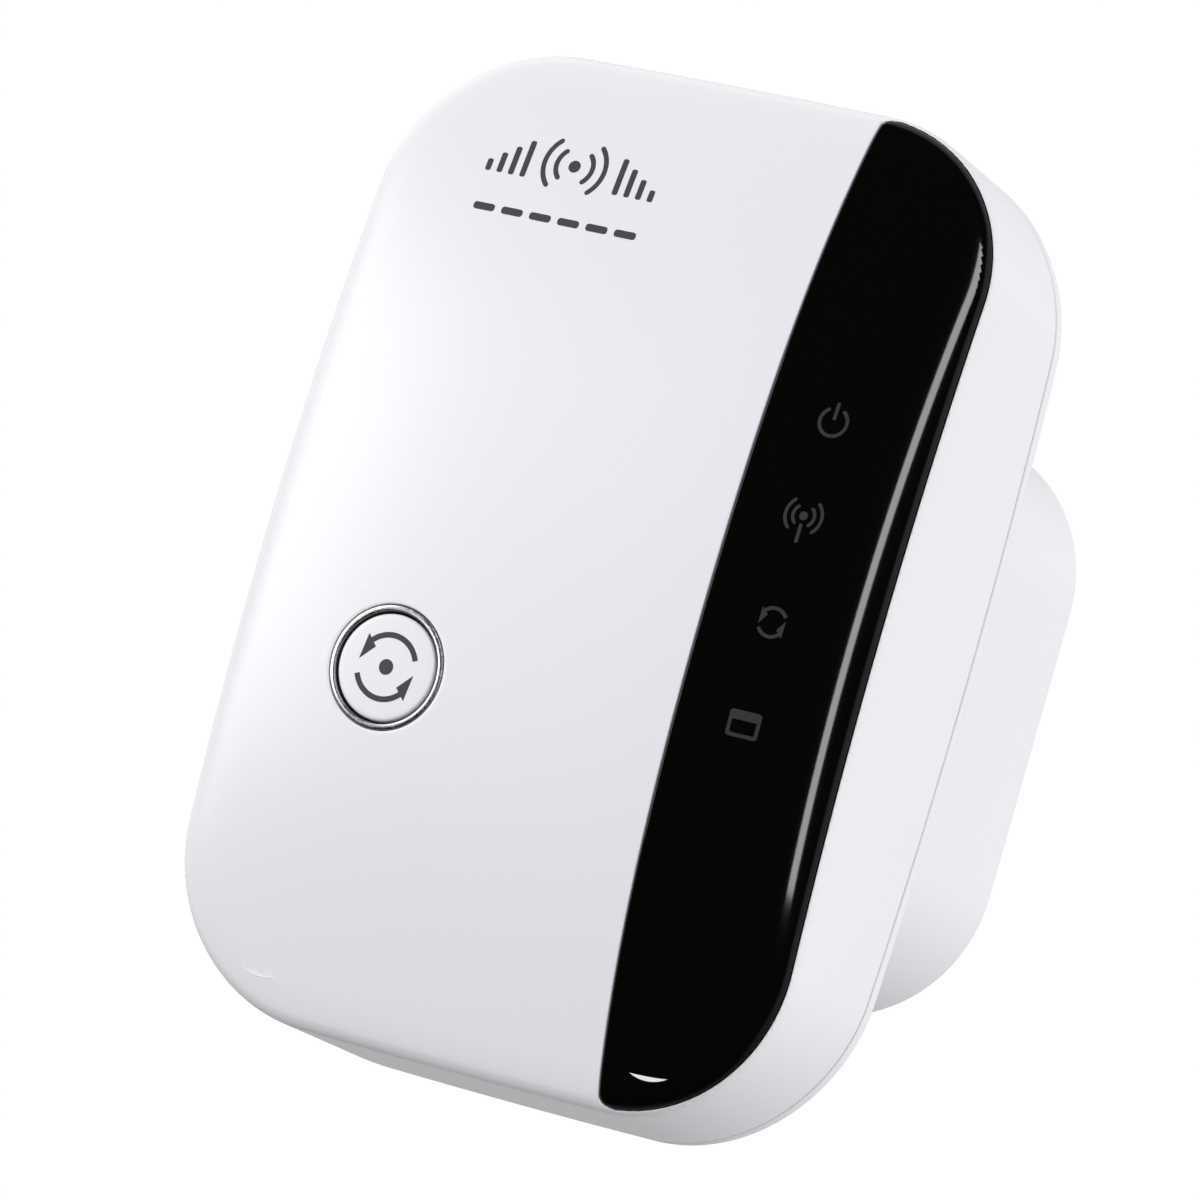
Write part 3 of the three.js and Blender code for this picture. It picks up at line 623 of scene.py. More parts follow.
def laminate(name, color, trace):
    """Circuit board: solder mask over traces that run along both axes."""
    f = Finish(name, color, 0.35, Coat_Weight=0.3, Coat_Roughness=0.2)
    x, _, z = f.new("ShaderNodeSeparateXYZ", {"Vector": f.where}).outputs
    lines = []
    for axis in (x, z):
        wander = f.math("MULTIPLY", f.noise(240, 0.0), 0.0006)
        wave = f.math("SINE", f.math("MULTIPLY", f.math("ADD", axis, wander), 5200), 0.0)
        gate = f.ramp(f.noise(1.0, 1.0, stretch=(160, 1, 30) if axis is x else (30, 1, 160)), 0.5, 0.53)
        lines.append(f.math("MULTIPLY", f.ramp(wave, 0.35, 0.5), gate))
    copper = f.math("MAXIMUM", *lines)
    weave = f.noise(1.0, 2.0, stretch=(2600, 900, 2600))
    f.paint(copper, trace)
    f.paint(f.ramp(weave, 0.6, 0.8, 0, 0.3), shade_of(color, 0.7))
    f.rough(f.ramp(weave, 0.3, 0.7, 0.28, 0.45))
    return f.bump(copper, 0.5, 2.5e-5).bump(weave, 0.1, 5e-6)


def sintered(name, color):
    f = Finish(name, color, 0.75)
    grit = f.noise(2400, 5.0, 0.7)
    f.paint(f.ramp(grit, 0.45, 0.75, 0, 0.6), shade_of(color, 1.8))
    f.rough(f.ramp(grit, 0.3, 0.7, 0.6, 0.85))
    return f.bump(grit, 0.5, 2e-5)


def wound_tape(name, color):
    f = Finish(name, color, 0.32, Coat_Weight=0.5, Coat_Roughness=0.12)
    wrap = f.noise(1.0, 2.0, stretch=(60, 2200, 60))
    crease = f.noise(900, 3.0, 0.6)
    f.paint(f.ramp(wrap, 0.4, 0.7, 0, 0.5), shade_of(color, 0.75))
    f.rough(f.ramp(crease, 0.3, 0.7, 0.24, 0.45))
    return f.bump(wrap, 0.4, 2e-5).bump(crease, 0.25, 1e-5)


def clear_plastic(name, color):
    f = Finish(name, color, 0.12, Transmission_Weight=0.85, IOR=1.49)
    haze = f.noise(600, 3.0)
    f.rough(f.ramp(haze, 0.3, 0.7, 0.08, 0.22))
    return f.bump(haze, 0.1, 4e-6)


FINISHES = {
    "white_shell": white_shell(),
    "black_lens": black_lens(),
    "ring_trim": metal("dark_chrome", (0.30, 0.30, 0.31), 0.16, 0.0, 0.05),
    "black_plastic": moulded("black_moulding", (0.018, 0.018, 0.020), 0.45, 2.5),
    "brass": metal("bright_brass", (0.76, 0.56, 0.24), 0.24, 0.1),
    "steel": metal("tinned_steel", (0.66, 0.67, 0.68), 0.28, 0.2),
    "board_green": laminate("green_board", (0.012, 0.115, 0.05), (0.03, 0.2, 0.07)),
    "board_tan": laminate("tan_board", (0.5, 0.33, 0.13), (0.62, 0.42, 0.17)),
    "heat_pad": sintered("soft_pad", (0.34, 0.42, 0.52)),
    "ferrite": sintered("sintered_ferrite", (0.05, 0.052, 0.056)),
    "can_aluminium": metal("bare_aluminium", (0.8, 0.81, 0.82), 0.3, 0.15, 0.05),
    "can_sleeve": wound_tape("shrunk_sleeve", (0.02, 0.022, 0.03)),
    "coil_tape": wound_tape("polyester_tape", (0.78, 0.52, 0.05)),
    "lamp_resin": moulded("lamp_resin", (0.82, 0.8, 0.6), 0.25, Transmission_Weight=0.2),
    "clear_guide": clear_plastic("clear_moulding", (0.93, 0.95, 0.96)),
    "disc_blue": moulded("dipped_epoxy", (0.03, 0.16, 0.46), 0.22, 2.0),
    "fuse_body": sintered("cement_coating", (0.28, 0.4, 0.3)),
}
PRINT_DARK = printed_ink("dark_print", (0.045, 0.046, 0.05))
PRINT_DIM = printed_ink("dim_print", (0.012, 0.012, 0.013))


def finished(piece, slot, *nodes, body="housing"):
    """Gives a piece the material of its slot, names it after its first CAD node, hides the CAD nodes that it
    stands for and attaches it to its body.
    """
    piece.data.materials.clear()
    piece.data.materials.append(FINISHES[slot].material)
    piece.name = piece.data.name = nodes[0] + "_detailed"
    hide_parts(*nodes)
    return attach(piece, body)


# ---- housing ----
def strip_outline(grow=0.0, count=420):
    """The dark strip: its left edge bows, its right edge follows the housing's front edge."""
    edge = housing_outline(1, STRIP_INSET - grow)

    def left(z):
        return STRIP_LEFT - grow + STRIP_SWEEP * (z / HALF_H) ** 4

    right = edge[edge[:, 0] > left(edge[:, 1]) + STRIP_TIP]
    right = right[np.argsort(right[:, 1])]
    low, high = right[0], right[-1]
    z = np.linspace(high[1] - STRIP_TIP, low[1] + STRIP_TIP, count)
    bow = np.stack([left(z), z], axis=1)

    def tip(start, end, z_corner):
        t = np.linspace(0, 1, 24)[1:-1, None]
        corner = np.array([left(z_corner), z_corner])
        return (1 - t) ** 2 * start + 2 * t * (1 - t) * corner + t ** 2 * end

    return resampled(np.vstack([right, tip(high, bow[0], high[1]), bow, tip(bow[-1], low, low[1])]), count)


STRIP_OUTLINE = strip_outline()


def ring_hole(count=160):
    radius = (RING_HIGH[0] - RING_LOW[0]) / 2
    return circle(min(radius, RING_OUTER) + RING_GAP, count, BUTTON_X, BUTTON_Z - BODY_Z)


def front_lump():
    """The front half as a solid, with a shallow pocket for the strip and a deep one for the ring."""
    strip, hole = strip_outline(STRIP_GAP), ring_hole()
    loops = (strip, hole)

    def depth(points):
        return face_depth(points) + lip_drop(points, strip) + lip_drop(points, hole)

    rims = [housing_outline(1, inset) for inset, _ in quarter(EDGE_ROUND, 8)[1:]]
    rims += [housing_outline(1, inset) for inset in (1.6, 2.1, 2.7, 3.3)]
    lips = [offset(loop, lean * LIP) for loop in loops for lean in (0.2, 0.55, 1, 2.6)]
    rings = [clear_of(ring, loops, 0.02) for ring in rims + lips]
    rings = [ring[inside(ring, FRONT_EDGE)] for ring in rings]
    skin = Skin()
    middle = clear_of(grid(FRONT_EDGE, 1.0, 3.8), loops, 0.7)
    skin.patch(depth, FRONT_EDGE, loops, np.vstack([*rings, middle]))
    skin.band([raised(strip, depth(strip)), raised(strip, face_depth(strip) + RECESS_DEPTH)])
    skin.patch(lambda p: face_depth(p) + RECESS_DEPTH, strip, (), grid(strip, 1.6, 0.8))
    skin.band([raised(hole, depth(hole)), raised(hole, POCKET_Y)])
    skin.patch(lambda p: np.full(len(p), POCKET_Y), hole)
    seam = [raised(housing_outline(0, inset), JOINT_FRONT - drop)
            for inset, drop in reversed(quarter(SEAM_ROUND))]
    start, front = JOINT_FRONT - SEAM_ROUND, face_depth(FRONT_EDGE)
    sides = [raised(housing_outline(f), start + (front - start) * f) for f in np.linspace(0, 1, 13)]
    skin.band(seam[:-1] + sides)
    skin.patch(lambda p: np.full(len(p), JOINT_FRONT), housing_outline(0, SEAM_ROUND))
    return skin.build("front_shell", BODY_Z)


def front_hollow():
    """The space inside the front shell, open through its rear."""
    skin = Skin()
    edge = housing_outline(1, WALL)

    def depth(points):
        return EDGE_Y + FACE_WALL - crown(points[:, 0], points[:, 1])

    rear = JOINT_FRONT + 1
    skin.band([raised(housing_outline(0, WALL), rear), raised(edge, depth(edge))])
    skin.patch(depth, edge, (), grid(edge, 2.5, 1.2))
    skin.patch(lambda p: np.full(len(p), rear), housing_outline(0, WALL))
    return skin.build("front_hollow", BODY_Z)


def front_shell():
    shell = cut(front_lump(), front_hollow())
    for x, z in SCREWS:
        tip = -42.0
        shell = joined(shell, bar("boss", BOSS["thick"], tip, BOARD_FRONT - GAP, at=(x, z)),
                       bar("boss", BOSS["thin"], tip, JOINT_FRONT, at=(x, z)))
    window = rounded_rectangle(WINDOW_HALF_W, WINDOW_HALF_H, 1.6, x=WINDOW_X, z=(LED_Z[0] + LED_Z[-1]) / 2)
    tools = [
        prism("window", window, -60, -40),
        facing_left(slab("jack_opening", (-JACK_HALF_W - 0.15, JACK_LOW[1] - 0.15, -5),
                         (JACK_HALF_W + 0.15, JOINT_FRONT + 5, 5), 0.5, place=along_z), JACK_X, JACK_Z),
        facing_left(bar("reset_hole", RESET_RADIUS + SLIDE_GAP, -4, 2.0, along_z, (0, RESET_Y)),
                    RESET_X, RESET_Z),
    ]
    pilot_end = JOINT_FRONT - BOSS["pilot_depth"]
    tools += [bar("pilot", BOSS["pilot"], pilot_end, JOINT_FRONT + 1, at=spot, sides=32) for spot in SCREWS]
    return finished(cut(shell, *tools), "white_shell", "front_shell")


def block_outline(inset):
    return rounded_rectangle(BLOCK_HALF_W - inset, BLOCK_HALF_H - inset, BLOCK_CORNER - inset, 240)


def lofted(name, rings, lift=0.0):
    """A closed solid through flat-ended loops."""
    skin = Skin()
    skin.band(rings)
    for ring in (rings[0], rings[-1]):
        flat, tris = filled(ring[:, [0, 2]])
        skin.add(raised(flat, ring[0][1]), tris)
    return skin.build(name, lift)


def rear_plate():
    seam = [raised(housing_outline(0, inset), JOINT_REAR + drop)
            for inset, drop in reversed(quarter(SEAM_ROUND))]
    rear = [raised(housing_outline(0, inset), PLATE_Y - drop) for inset, drop in quarter(PLATE_ROUND)]
    return lofted("rear_shell", seam + rear, BODY_Z)


def plug_block():
    turn = np.linspace(0, math.pi / 2, 6)
    foot = [raised(block_outline(-BLOCK_FOOT * (1 - math.sin(a))), PLATE_Y + BLOCK_FOOT * (1 - math.cos(a)))
            for a in turn]
    rim = [raised(block_outline(inset), -drop) for inset, drop in quarter(BLOCK_EDGE, 9)]
    base = [raised(block_outline(-BLOCK_FOOT), PLATE_Y - 0.8)]
    return lofted("plug_block", base + foot + rim)


def vent_cutter(x):
    middle = (VENTS["front"] + VENTS["rear"]) / 2
    half = (VENTS["rear"] - VENTS["front"]) / 2
    slot = rounded_rectangle(VENTS["width"] / 2, half, VENTS["width"] / 2 - 0.01, 64, x, middle)
    return prism("vent", slot, -BLOCK_HALF_H - 2, BLOCK_HALF_H + 2, along_z)


def rear_shell():
    shell = joined(rear_plate(), plug_block())
    outer, inner = (housing_outline(0, WALL + GAP + inset) for inset in (0, LIP_WALL))
    shell = joined(shell, lofted("lip", [raised(outer, y) for y in (REAR_FRONT, PLATE_Y - 0.4)], BODY_Z))
    bore = lofted("bore", [raised(inner, y) for y in (REAR_FRONT - 1, PLATE_Y - 1.8)], BODY_Z)
    hollow = lofted("hollow", [raised(block_outline(WALL), y) for y in (REAR_FRONT - 2, -WALL)])
    notch = slab("jack_notch", (-JACK_HALF_W - GAP, REAR_FRONT - 1.5, -6),
                 (JACK_HALF_W + GAP, JOINT_REAR, 6), place=along_z)
    shell = cut(shell, bore, hollow, facing_left(notch, JACK_X, JACK_Z))
    for x in (-POST["x"], POST["x"]):
        for z in (-POST["z"], POST["z"]):
            post = bar("post", POST["radius"], POWER_REAR + GAP, -WALL / 2, at=(x, z), sides=32)
            shell = joined(shell, post)
    seat = rounded_rectangle(INSERT["half_w"] + 0.12, INSERT["half_h"] + 0.12, INSERT["corner"])
    tools = [prism("insert_seat", seat, -3, 1)]
    tools += [vent_cutter((i - (VENTS["count"] - 1) / 2) * VENTS["pitch"]) for i in range(VENTS["count"])]
    for spot in SCREWS:
        tools.append(bar("screw_seat", SCREW["head"] + 0.25, PLATE_Y - SCREW["sunk"], PLATE_Y + 1, at=spot))
        tools.append(bar("screw_hole", SCREW["shank"] + 0.2, REAR_FRONT - 3, PLATE_Y + 1, at=spot, sides=32))
    return finished(cut(shell, *tools), "white_shell", "rear_shell")


def strip_depth(points):
    return face_depth(points) + lip_drop(points, STRIP_OUTLINE, STRIP_RIM) + 0.02


def indicator_strip():
    """The dark strip, dense enough where it rolls over to reflect in clean lines."""
    skin = Skin()
    rings = [offset(STRIP_OUTLINE, -lean * STRIP_RIM) for lean in (0.2, 0.55, 1, 2.8)]
    insets = np.arange(1.15, 4.0, 0.22)
    rolls = [clear_inside(housing_outline(1, inset), STRIP_OUTLINE, 0.5) for inset in insets]
    middle = clear_inside(grid(STRIP_OUTLINE, 0.9, 0.9), housing_outline(1, 4.1), 0.1)
    skin.patch(strip_depth, STRIP_OUTLINE, (), np.vstack([*rings, *rolls, middle]))
    rear = face_depth(STRIP_OUTLINE) + STRIP_THICKNESS
    skin.band([raised(STRIP_OUTLINE, strip_depth(STRIP_OUTLINE)), raised(STRIP_OUTLINE, rear)])
    skin.patch(lambda p: face_depth(p) + STRIP_THICKNESS, STRIP_OUTLINE, (), grid(STRIP_OUTLINE, 1.6, 0.8))
    strip = skin.build("indicator_strip", BODY_Z)
    exact_normals(strip, strip_depth, STRIP_OUTLINE)
    return finished(strip, "black_lens", "indicator_strip")


def exact_normals(piece, depth, outline, step=0.02):
    """Gives the front of a piece the normals of the surface that it follows, short of its outline."""
    mesh = piece.data
    flat = np.array([(v.co.x / MM, v.co.z / MM - BODY_Z) for v in mesh.vertices])
    slopes = [(depth(flat + shift) - depth(flat - shift)) / (2 * step) for shift in np.eye(2) * step]
    normals = np.stack([slopes[0], -np.ones(len(flat)), slopes[1]], axis=1)
    normals /= np.linalg.norm(normals, axis=1)[:, None]
    normals[distance_to(flat, outline) < 2 * step] = 0
    loops = np.zeros((len(mesh.loops), 3))
    for face in mesh.polygons:
        if face.normal.y < -0.25:
            for k in face.loop_indices:
                loops[k] = normals[mesh.loops[k].vertex_index]
    mesh.normals_split_custom_set(loops.tolist())


# ---- button, ring and reset ----
def button_ring():
    rim = 0.12
    profile = [(RING_INNER, RING_FLANGE[2]), (RING_INNER, 0.6, ON_FACE)]
    profile += [(RING_INNER + i, d, ON_FACE) for i, d in quarter(rim)]
    profile += [(RING_OUTER - i, d, ON_FACE) for i, d in reversed(quarter(rim))]
    flange, front, rear = RING_FLANGE
    profile += [(RING_OUTER, front), (flange, front), (flange, rear), (RING_INNER, rear)]
    return finished(loop_of_revolution("button_ring", profile), "ring_trim", "button_ring")


def loop_of_revolution(name, profile, sides=160):
    """A ring round the button's axis whose profile closes on itself."""
    skin = Skin()
    rings = []
    for radius, y, *on_face in profile:
        flat = circle(radius, sides, BUTTON_X, BUTTON_Z - BODY_Z)
        rings.append(raised(flat, face_depth(flat) + y if on_face else y))
    skin.band(rings)
    return skin.build(name, BODY_Z)


def pair_button():
    rim = 0.3
    sunk = 0.05
    flange, front, rear = CAP_FLANGE
    face = depth_at(BUTTON_X, BUTTON_Z)
    profile = [(0, sunk, ON_FACE)]
    profile += [(r, sunk, ON_FACE) for r in np.linspace(0.4, CAP_RADIUS - rim - 0.2, 9)]
    profile += [(CAP_RADIUS - i, sunk + d, ON_FACE) for i, d in reversed(quarter(rim, 6))]
    profile += [(CAP_RADIUS, front), (flange, front), (flange, rear), (CAP_RADIUS - 1.1, rear),
                (CAP_RADIUS - 1.1, face + 1.8), (1.5, face + 1.8), (1.5, STEM_TIP), (0, STEM_TIP)]
    return finished(turned("pair_button", profile, BUTTON_X, BUTTON_Z, 160), "white_shell", "pair_button",
                    body="pair_button")


def depth_at(x, z):
    """Y of the face at one place of the row frame."""
    return float(face_depth(np.array([[x, z - BODY_Z]]))[0])


def reset_button():
    at = (0, RESET_Y)
    cap = bar("reset_button", RESET_RADIUS, 0, 2.3, along_z, at, 0.3)
    flange = bar("flange", RESET_RADIUS + 1, 2.2, 3, along_z, at, 0.1)
    stem = bar("stem", 1, 2.9, RESET_HIGH[0] - RESET_X, along_z, at, 0.1)
    button = facing_left(joined(cap, flange, stem), RESET_X, RESET_Z)
    return finished(button, "black_plastic", "reset_button", body="reset_button")


# ---- plug ----
def plug_insert():
    rim = 0.35
    outline = rounded_rectangle(INSERT["half_w"], INSERT["half_h"], INSERT["corner"], 160)
    rings = [raised(outline, -2.5)] + [raised(offset(outline, -inset), -drop) for inset, drop in quarter(rim)]
    body = lofted("plug_insert", rings)
    flange = prism("flange", offset(outline, INSERT["flange"]), INSERT_FRONT, -2.3, rim=0.2)
    insert = joined(body, flange)
    half = (BLADE["thickness"] / 2 + 0.12, BLADE["width"] / 2 + 0.12)
    for side in (-1, 1):
        slot = rounded_rectangle(*half, 0.2, 48, side * BLADE["pitch"] / 2)
        shallow = prism("funnel", offset(slot, 0.35), -0.25, 1, rim=0.0)
        insert = cut(insert, prism("blade_slot", slot, -10, 5), shallow)
    return finished(insert, "white_shell", "plug_insert")


def blade(side):
    """A stamped mains blade: eased edges, tapered tip and a countersunk hole."""
    node = "blade_left" if side < 0 else "blade_right"
    low, high = span(node)
    half, tip, back = BLADE["width"] / 2, high[1], low[1]
    lead, nose = BLADE_TIP["lead"], BLADE_TIP["nose"]
    lower = [(back, -half), (tip - lead, -half), (tip, nose - half)]
    corners = lower + [(y, -z) for y, z in reversed(lower)]
    outline = resampled(np.array(corners), 220)
    x = side * BLADE["pitch"] / 2
    plate = prism("blade", outline, x - BLADE["thickness"] / 2, x + BLADE["thickness"] / 2, along_x, 0.18)
    hole = bar("hole", BLADE["hole"], x - 3, x + 3, along_x, (BLADE["hole_y"], 0))
    plate = cut(plate, hole)
    for sign in (-1, 1):
        face = x + sign * BLADE["thickness"] / 2
        rings = [along_x(circle(BLADE["hole"] + lean, 64, BLADE["hole_y"], 0), face + sign * drop)
                 for lean, drop in ((-0.2, -0.35), (0.15, 0.0), (0.25, 0.1))]
        skin = Skin()
        skin.band(rings)
        skin.cap(rings[0], rings[-1])
        plate = cut(plate, skin.build("countersink"))
    return finished(plate, "brass", node)


def housing_screw(index):
    """A pan-head screw with a cross recess; its thread is a stack of shallow ridges."""
    low, high = SCREW_SPANS[index]
    x, z = SCREWS[index]
    head = high[1]
    seat = head - 0.65
    dome = [(2.3 * math.cos(a), seat + 0.2 + 0.45 * math.sin(a)) for a in np.linspace(0, math.pi / 2, 9)]
    profile = [(0, low[1]), (0.35, low[1] + 0.1), (0.8, low[1] + 0.9)]
    turns = 11
    for k in range(turns):
        y = low[1] + 1.0 + k * 0.6
        profile += [(0.78, y), (1.0, y + 0.22), (1.0, y + 0.3), (0.78, y + 0.5)]
    profile += [(0.85, seat - 0.02), (2.15, seat), (2.3, seat + 0.1), *dome[:-1], (0, head)]
    screw = turned("screw", profile, x, z, 64)
    for turn in (0, 90):
        arm = rounded_rectangle(1.25, 0.2, 0.12, 48)
        angle = math.radians(turn + 24 * index)
        spin = np.array([[math.cos(angle), -math.sin(angle)], [math.sin(angle), math.cos(angle)]])
        screw = cut(screw, prism("cross", arm @ spin.T + [x, z], head - 0.5, head + 1))
    return finished(screw, "steel", f"housing_screw_{index + 1}")


# ---- network jack ----
def jack_housing():
    front = JACK_LOW[1]
    mouth_y = front + MOUTH["roof"]
    latch_y = mouth_y + MOUTH["height"]
    body = slab("jack_housing", (-JACK_HALF_W, front, 0), (JACK_HALF_W, JACK_HIGH[1], JACK_DEPTH), 0.35, 0.25,
                along_z)
    comb = CONTACTS["count"] * CONTACTS["pitch"] / 2 + 0.2
    width = MOUTH["half_w"]

    def opening(half_w, y0, y1, z0, z1, corner=0.2):
        return slab("opening", (-half_w, y0, z0), (half_w, y1, z1), corner, place=along_z)

    tools = [
        opening(width, mouth_y, latch_y, -2, MOUTH["depth"], 0.25),
        opening(LATCH["half_w"], latch_y - 0.5, latch_y + LATCH["height"], -2, 12),
        opening(LATCH["half_w"] / 2, latch_y + 0.5, latch_y + LATCH["height"] + 0.5, -2, 12),
        opening(comb, mouth_y - 0.9, mouth_y + 0.1, 3.25, 16.75),
        opening(comb, front - 3, front + 3, 15.2, 16.8),
    ]
    for k in range(CONTACTS["count"]):
        x = (k - (CONTACTS["count"] - 1) / 2) * CONTACTS["pitch"]
        groove = opening(0.3, mouth_y - 0.55, mouth_y + 0.1, 1.2, 4, 0.05)
        groove.data.transform(Matrix.Translation((x * MM, 0, 0)))
        tools.append(groove)
    body = facing_left(cut(body, *tools), JACK_X, JACK_Z)
    return finished(body, "black_plastic", "jack_housing")


def jack_contact(index):
    """A spring contact: a sloping leg in the mouth, back along the roof and down to the board."""
    front = JACK_LOW[1]
    roof = front + MOUTH["roof"] - 0.55
    half = CONTACTS["thickness"] / 2
    corners = [(roof + 2.2 + half, 11), (roof, 4.15), (roof, 16), (front + 0.1, 16)]
    x = (index - (CONTACTS["count"] - 1) / 2) * CONTACTS["pitch"]
    spring = swept("contact", rounded_path(corners, 0.9), CONTACTS["width"], CONTACTS["thickness"], 0.08, x)
    return finished(facing_left(spring, JACK_X, JACK_Z), "brass", f"jack_contact_{index + 1}")


# ---- printed marks ----
def stroke(path, width, caps=8):
    """A closed outline round a path of flat points, with round ends."""
    path = np.array(path, float)
    tangent = np.gradient(path, axis=0)
    tangent /= np.linalg.norm(tangent, axis=1)[:, None]
    normal = np.stack([tangent[:, 1], -tangent[:, 0]], axis=1) * width / 2

    def end(centre, direction):
        start = math.degrees(math.atan2(direction[1], direction[0])) - 90
        return arc(*centre, width / 2, start, start + 180, caps)[1:-1]

    ends = [end(path[-1], tangent[-1]), end(path[0], -tangent[0])]
    return np.vstack([path + normal, ends[0], (path - normal)[::-1], ends[1]])


def arrow_arc(x, z, radius, start, end, width, head, count=40):
    """An arc that tapers out into an arrowhead at its end; angles in degrees, counter-clockwise."""
    reach = math.degrees(1.5 * head / radius)
    inner = arc(x, z, radius - width / 2, start, end, count)
    outer = arc(x, z, radius + width / 2, start, end, count)
    tip = arc(x, z, radius, end + reach, end + reach, 1)
    barbs = [arc(x, z, radius + side * head / 2, end, end, 1) for side in (1, -1)]
    return np.vstack([outer, barbs[0], tip, barbs[1], inner[::-1]])


def printed(name, shapes, sink, finish, proud=0.012, body="housing"):
    """Ink that lies on the face; each shape is an outline, or an outline and its holes."""
    skin = Skin()
    for shape in shapes:
        outline, holes = (shape[0], shape[1:]) if isinstance(shape, tuple) else (shape, ())
        for outward in (sink - proud, sink + 0.02):
            skin.patch(lambda p, rise=outward: face_depth(p) + rise, outline, holes,
                       clear_inside(grid(outline, 0.5, 0.12), outline, 0.1))
        for loop in (outline, *holes):
            skin.band([raised(loop, face_depth(loop) + rise) for rise in (sink - proud, sink + 0.02)])
    piece = skin.build(name, BODY_Z)
    piece.data.materials.append(finish.material)
    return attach(piece, body)


def bar_outline(x0, x1, z0, z1, corner):
    return rounded_rectangle((x1 - x0) / 2, (z1 - z0) / 2, corner, 64, (x0 + x1) / 2, (z0 + z1) / 2)


def coverage_mark():
    """A radio-wave pictogram between two signal-bar groups, over a row of dashes."""
    x, z = -12.2, 37.0
    shapes = [circle(0.62, 40, x, z)]
    for radius in (1.9, 3.2):
        shapes.append(stroke(arc(x, z, radius, -46, 46, 32), 0.5))
        shapes.append(stroke(arc(x, z, radius, 134, 226, 32), 0.5))
    for side in (-1, 1):
        for k in range(4):
            height = 1.2 + 0.85 * (3 - k)
            at = x + side * (5.0 + 1.25 * k)
            shapes.append(bar_outline(at - 0.3, at + 0.3, z - 2.0, z - 2.0 + height, 0.2))
    for k in range(6):
        left = -21.0 + k * 3.05
        shapes.append(bar_outline(left, left + 2.3, 31.0, 31.75, 0.3))
    return printed("coverage_mark", shapes, 0.0, PRINT_DARK)


def sync_mark():
    """Two arrows that chase each other round the button."""
    x, z = BUTTON_X, BUTTON_Z - BODY_Z
    shapes = [arrow_arc(x, z, 3.05, start, start + 112, 0.55, 1.5) for start in (22, 202)]
    shapes.append(circle(0.75, 48, x, z))
    return printed("sync_mark", shapes, 0.05, PRINT_DARK, body="pair_button")


def lamp_marks():
    """Four dim pictograms on the strip, one over each lamp."""
    x = WINDOW_X
    power, signal, sync, port = (z - BODY_Z for z in LED_Z)
    shapes = [
        stroke(arc(x, power, 1.35, 125, 415, 48), 0.34),
        stroke(np.stack([np.full(8, x), np.linspace(power + 0.35, power + 1.75, 8)], axis=1), 0.34),
        circle(0.42, 32, x, signal + 0.55),
        stroke(np.stack([np.full(8, x), np.linspace(signal - 1.9, signal - 0.35, 8)], axis=1), 0.34),
    ]
    for radius in (1.05, 1.8):
        shapes.append(stroke(arc(x, signal + 0.55, radius, -48, 48, 24), 0.32))
        shapes.append(stroke(arc(x, signal + 0.55, radius, 132, 228, 24), 0.32))
    shapes += [arrow_arc(x, sync, 1.35, start, start + 105, 0.34, 0.95) for start in (30, 210)]
    frame_outline = bar_outline(x - 1.6, x + 1.6, port - 1.25, port + 1.25, 0.3)
    shapes.append((frame_outline, bar_outline(x - 1.25, x + 1.25, port - 0.9, port + 0.35, 0.12)))
    return printed("lamp_marks", shapes, 0.02, PRINT_DIM, 0.01)


# ---- everything, then the studio ----
def carried_nodes():
    """CAD nodes that keep their shape get their slot's finish."""
    slots = {
        "board_green": ["main_board"],
        "board_tan": ["power_board"],
        "heat_pad": ["chip_heat_pad"],
        "steel": ["shield_can", "crystal", "antenna_left", "antenna_right", "pair_switch_body"],
        "ferrite": ["board_inductor", "transformer_core", "output_choke"],
        "can_aluminium": ["board_capacitor"],
        "can_sleeve": ["bulk_capacitor_1", "bulk_capacitor_2", "output_capacitor"],
        "coil_tape": ["transformer_coil"],
        "lamp_resin": [f"led_{name}" for name in ("power", "signal", "sync", "port")],
        "clear_guide": ["light_guide"],
        "disc_blue": ["safety_capacitor"],
        "fuse_body": ["fuse"],
        "brass": ["blade_contact_left", "blade_contact_right", "link_pin_positive", "link_pin_negative"],
        "black_plastic": ["main_chip", "memory_chip", "lan_transformer", "pair_switch_stem",
                          "reset_switch_body", "reset_switch_stem", "light_baffle", "bridge_rectifier",
                          "controller_chip", "link_header"],
    }
    for slot, names in slots.items():
        for name in names:
            node = NODES[name]
            node.data.materials.clear()
            node.data.materials.append(FINISHES[slot].material)


front_shell()
rear_shell()
indicator_strip()
button_ring()
pair_button()
reset_button()
plug_insert()
for side in (-1, 1):
    blade(side)
for index in range(len(SCREWS)):
    housing_screw(index)
jack_housing()
for index in range(CONTACTS["count"]):
    jack_contact(index)
coverage_mark()
sync_mark()
lamp_marks()
carried_nodes()


def studio_material(name, color, emission=0.0, roughness=0.9):
    f = Finish(name, color, roughness)
    cloud = f.noise(3.0, 3.0)
    f.paint(f.ramp(cloud, 0.3, 0.7, 0, 0.3), shade_of(color, 0.985))
    f.shader.inputs["Emission Color"].default_value = (1, 1, 1, 1)
    f.shader.inputs["Emission Strength"].default_value = emission
    return f.material


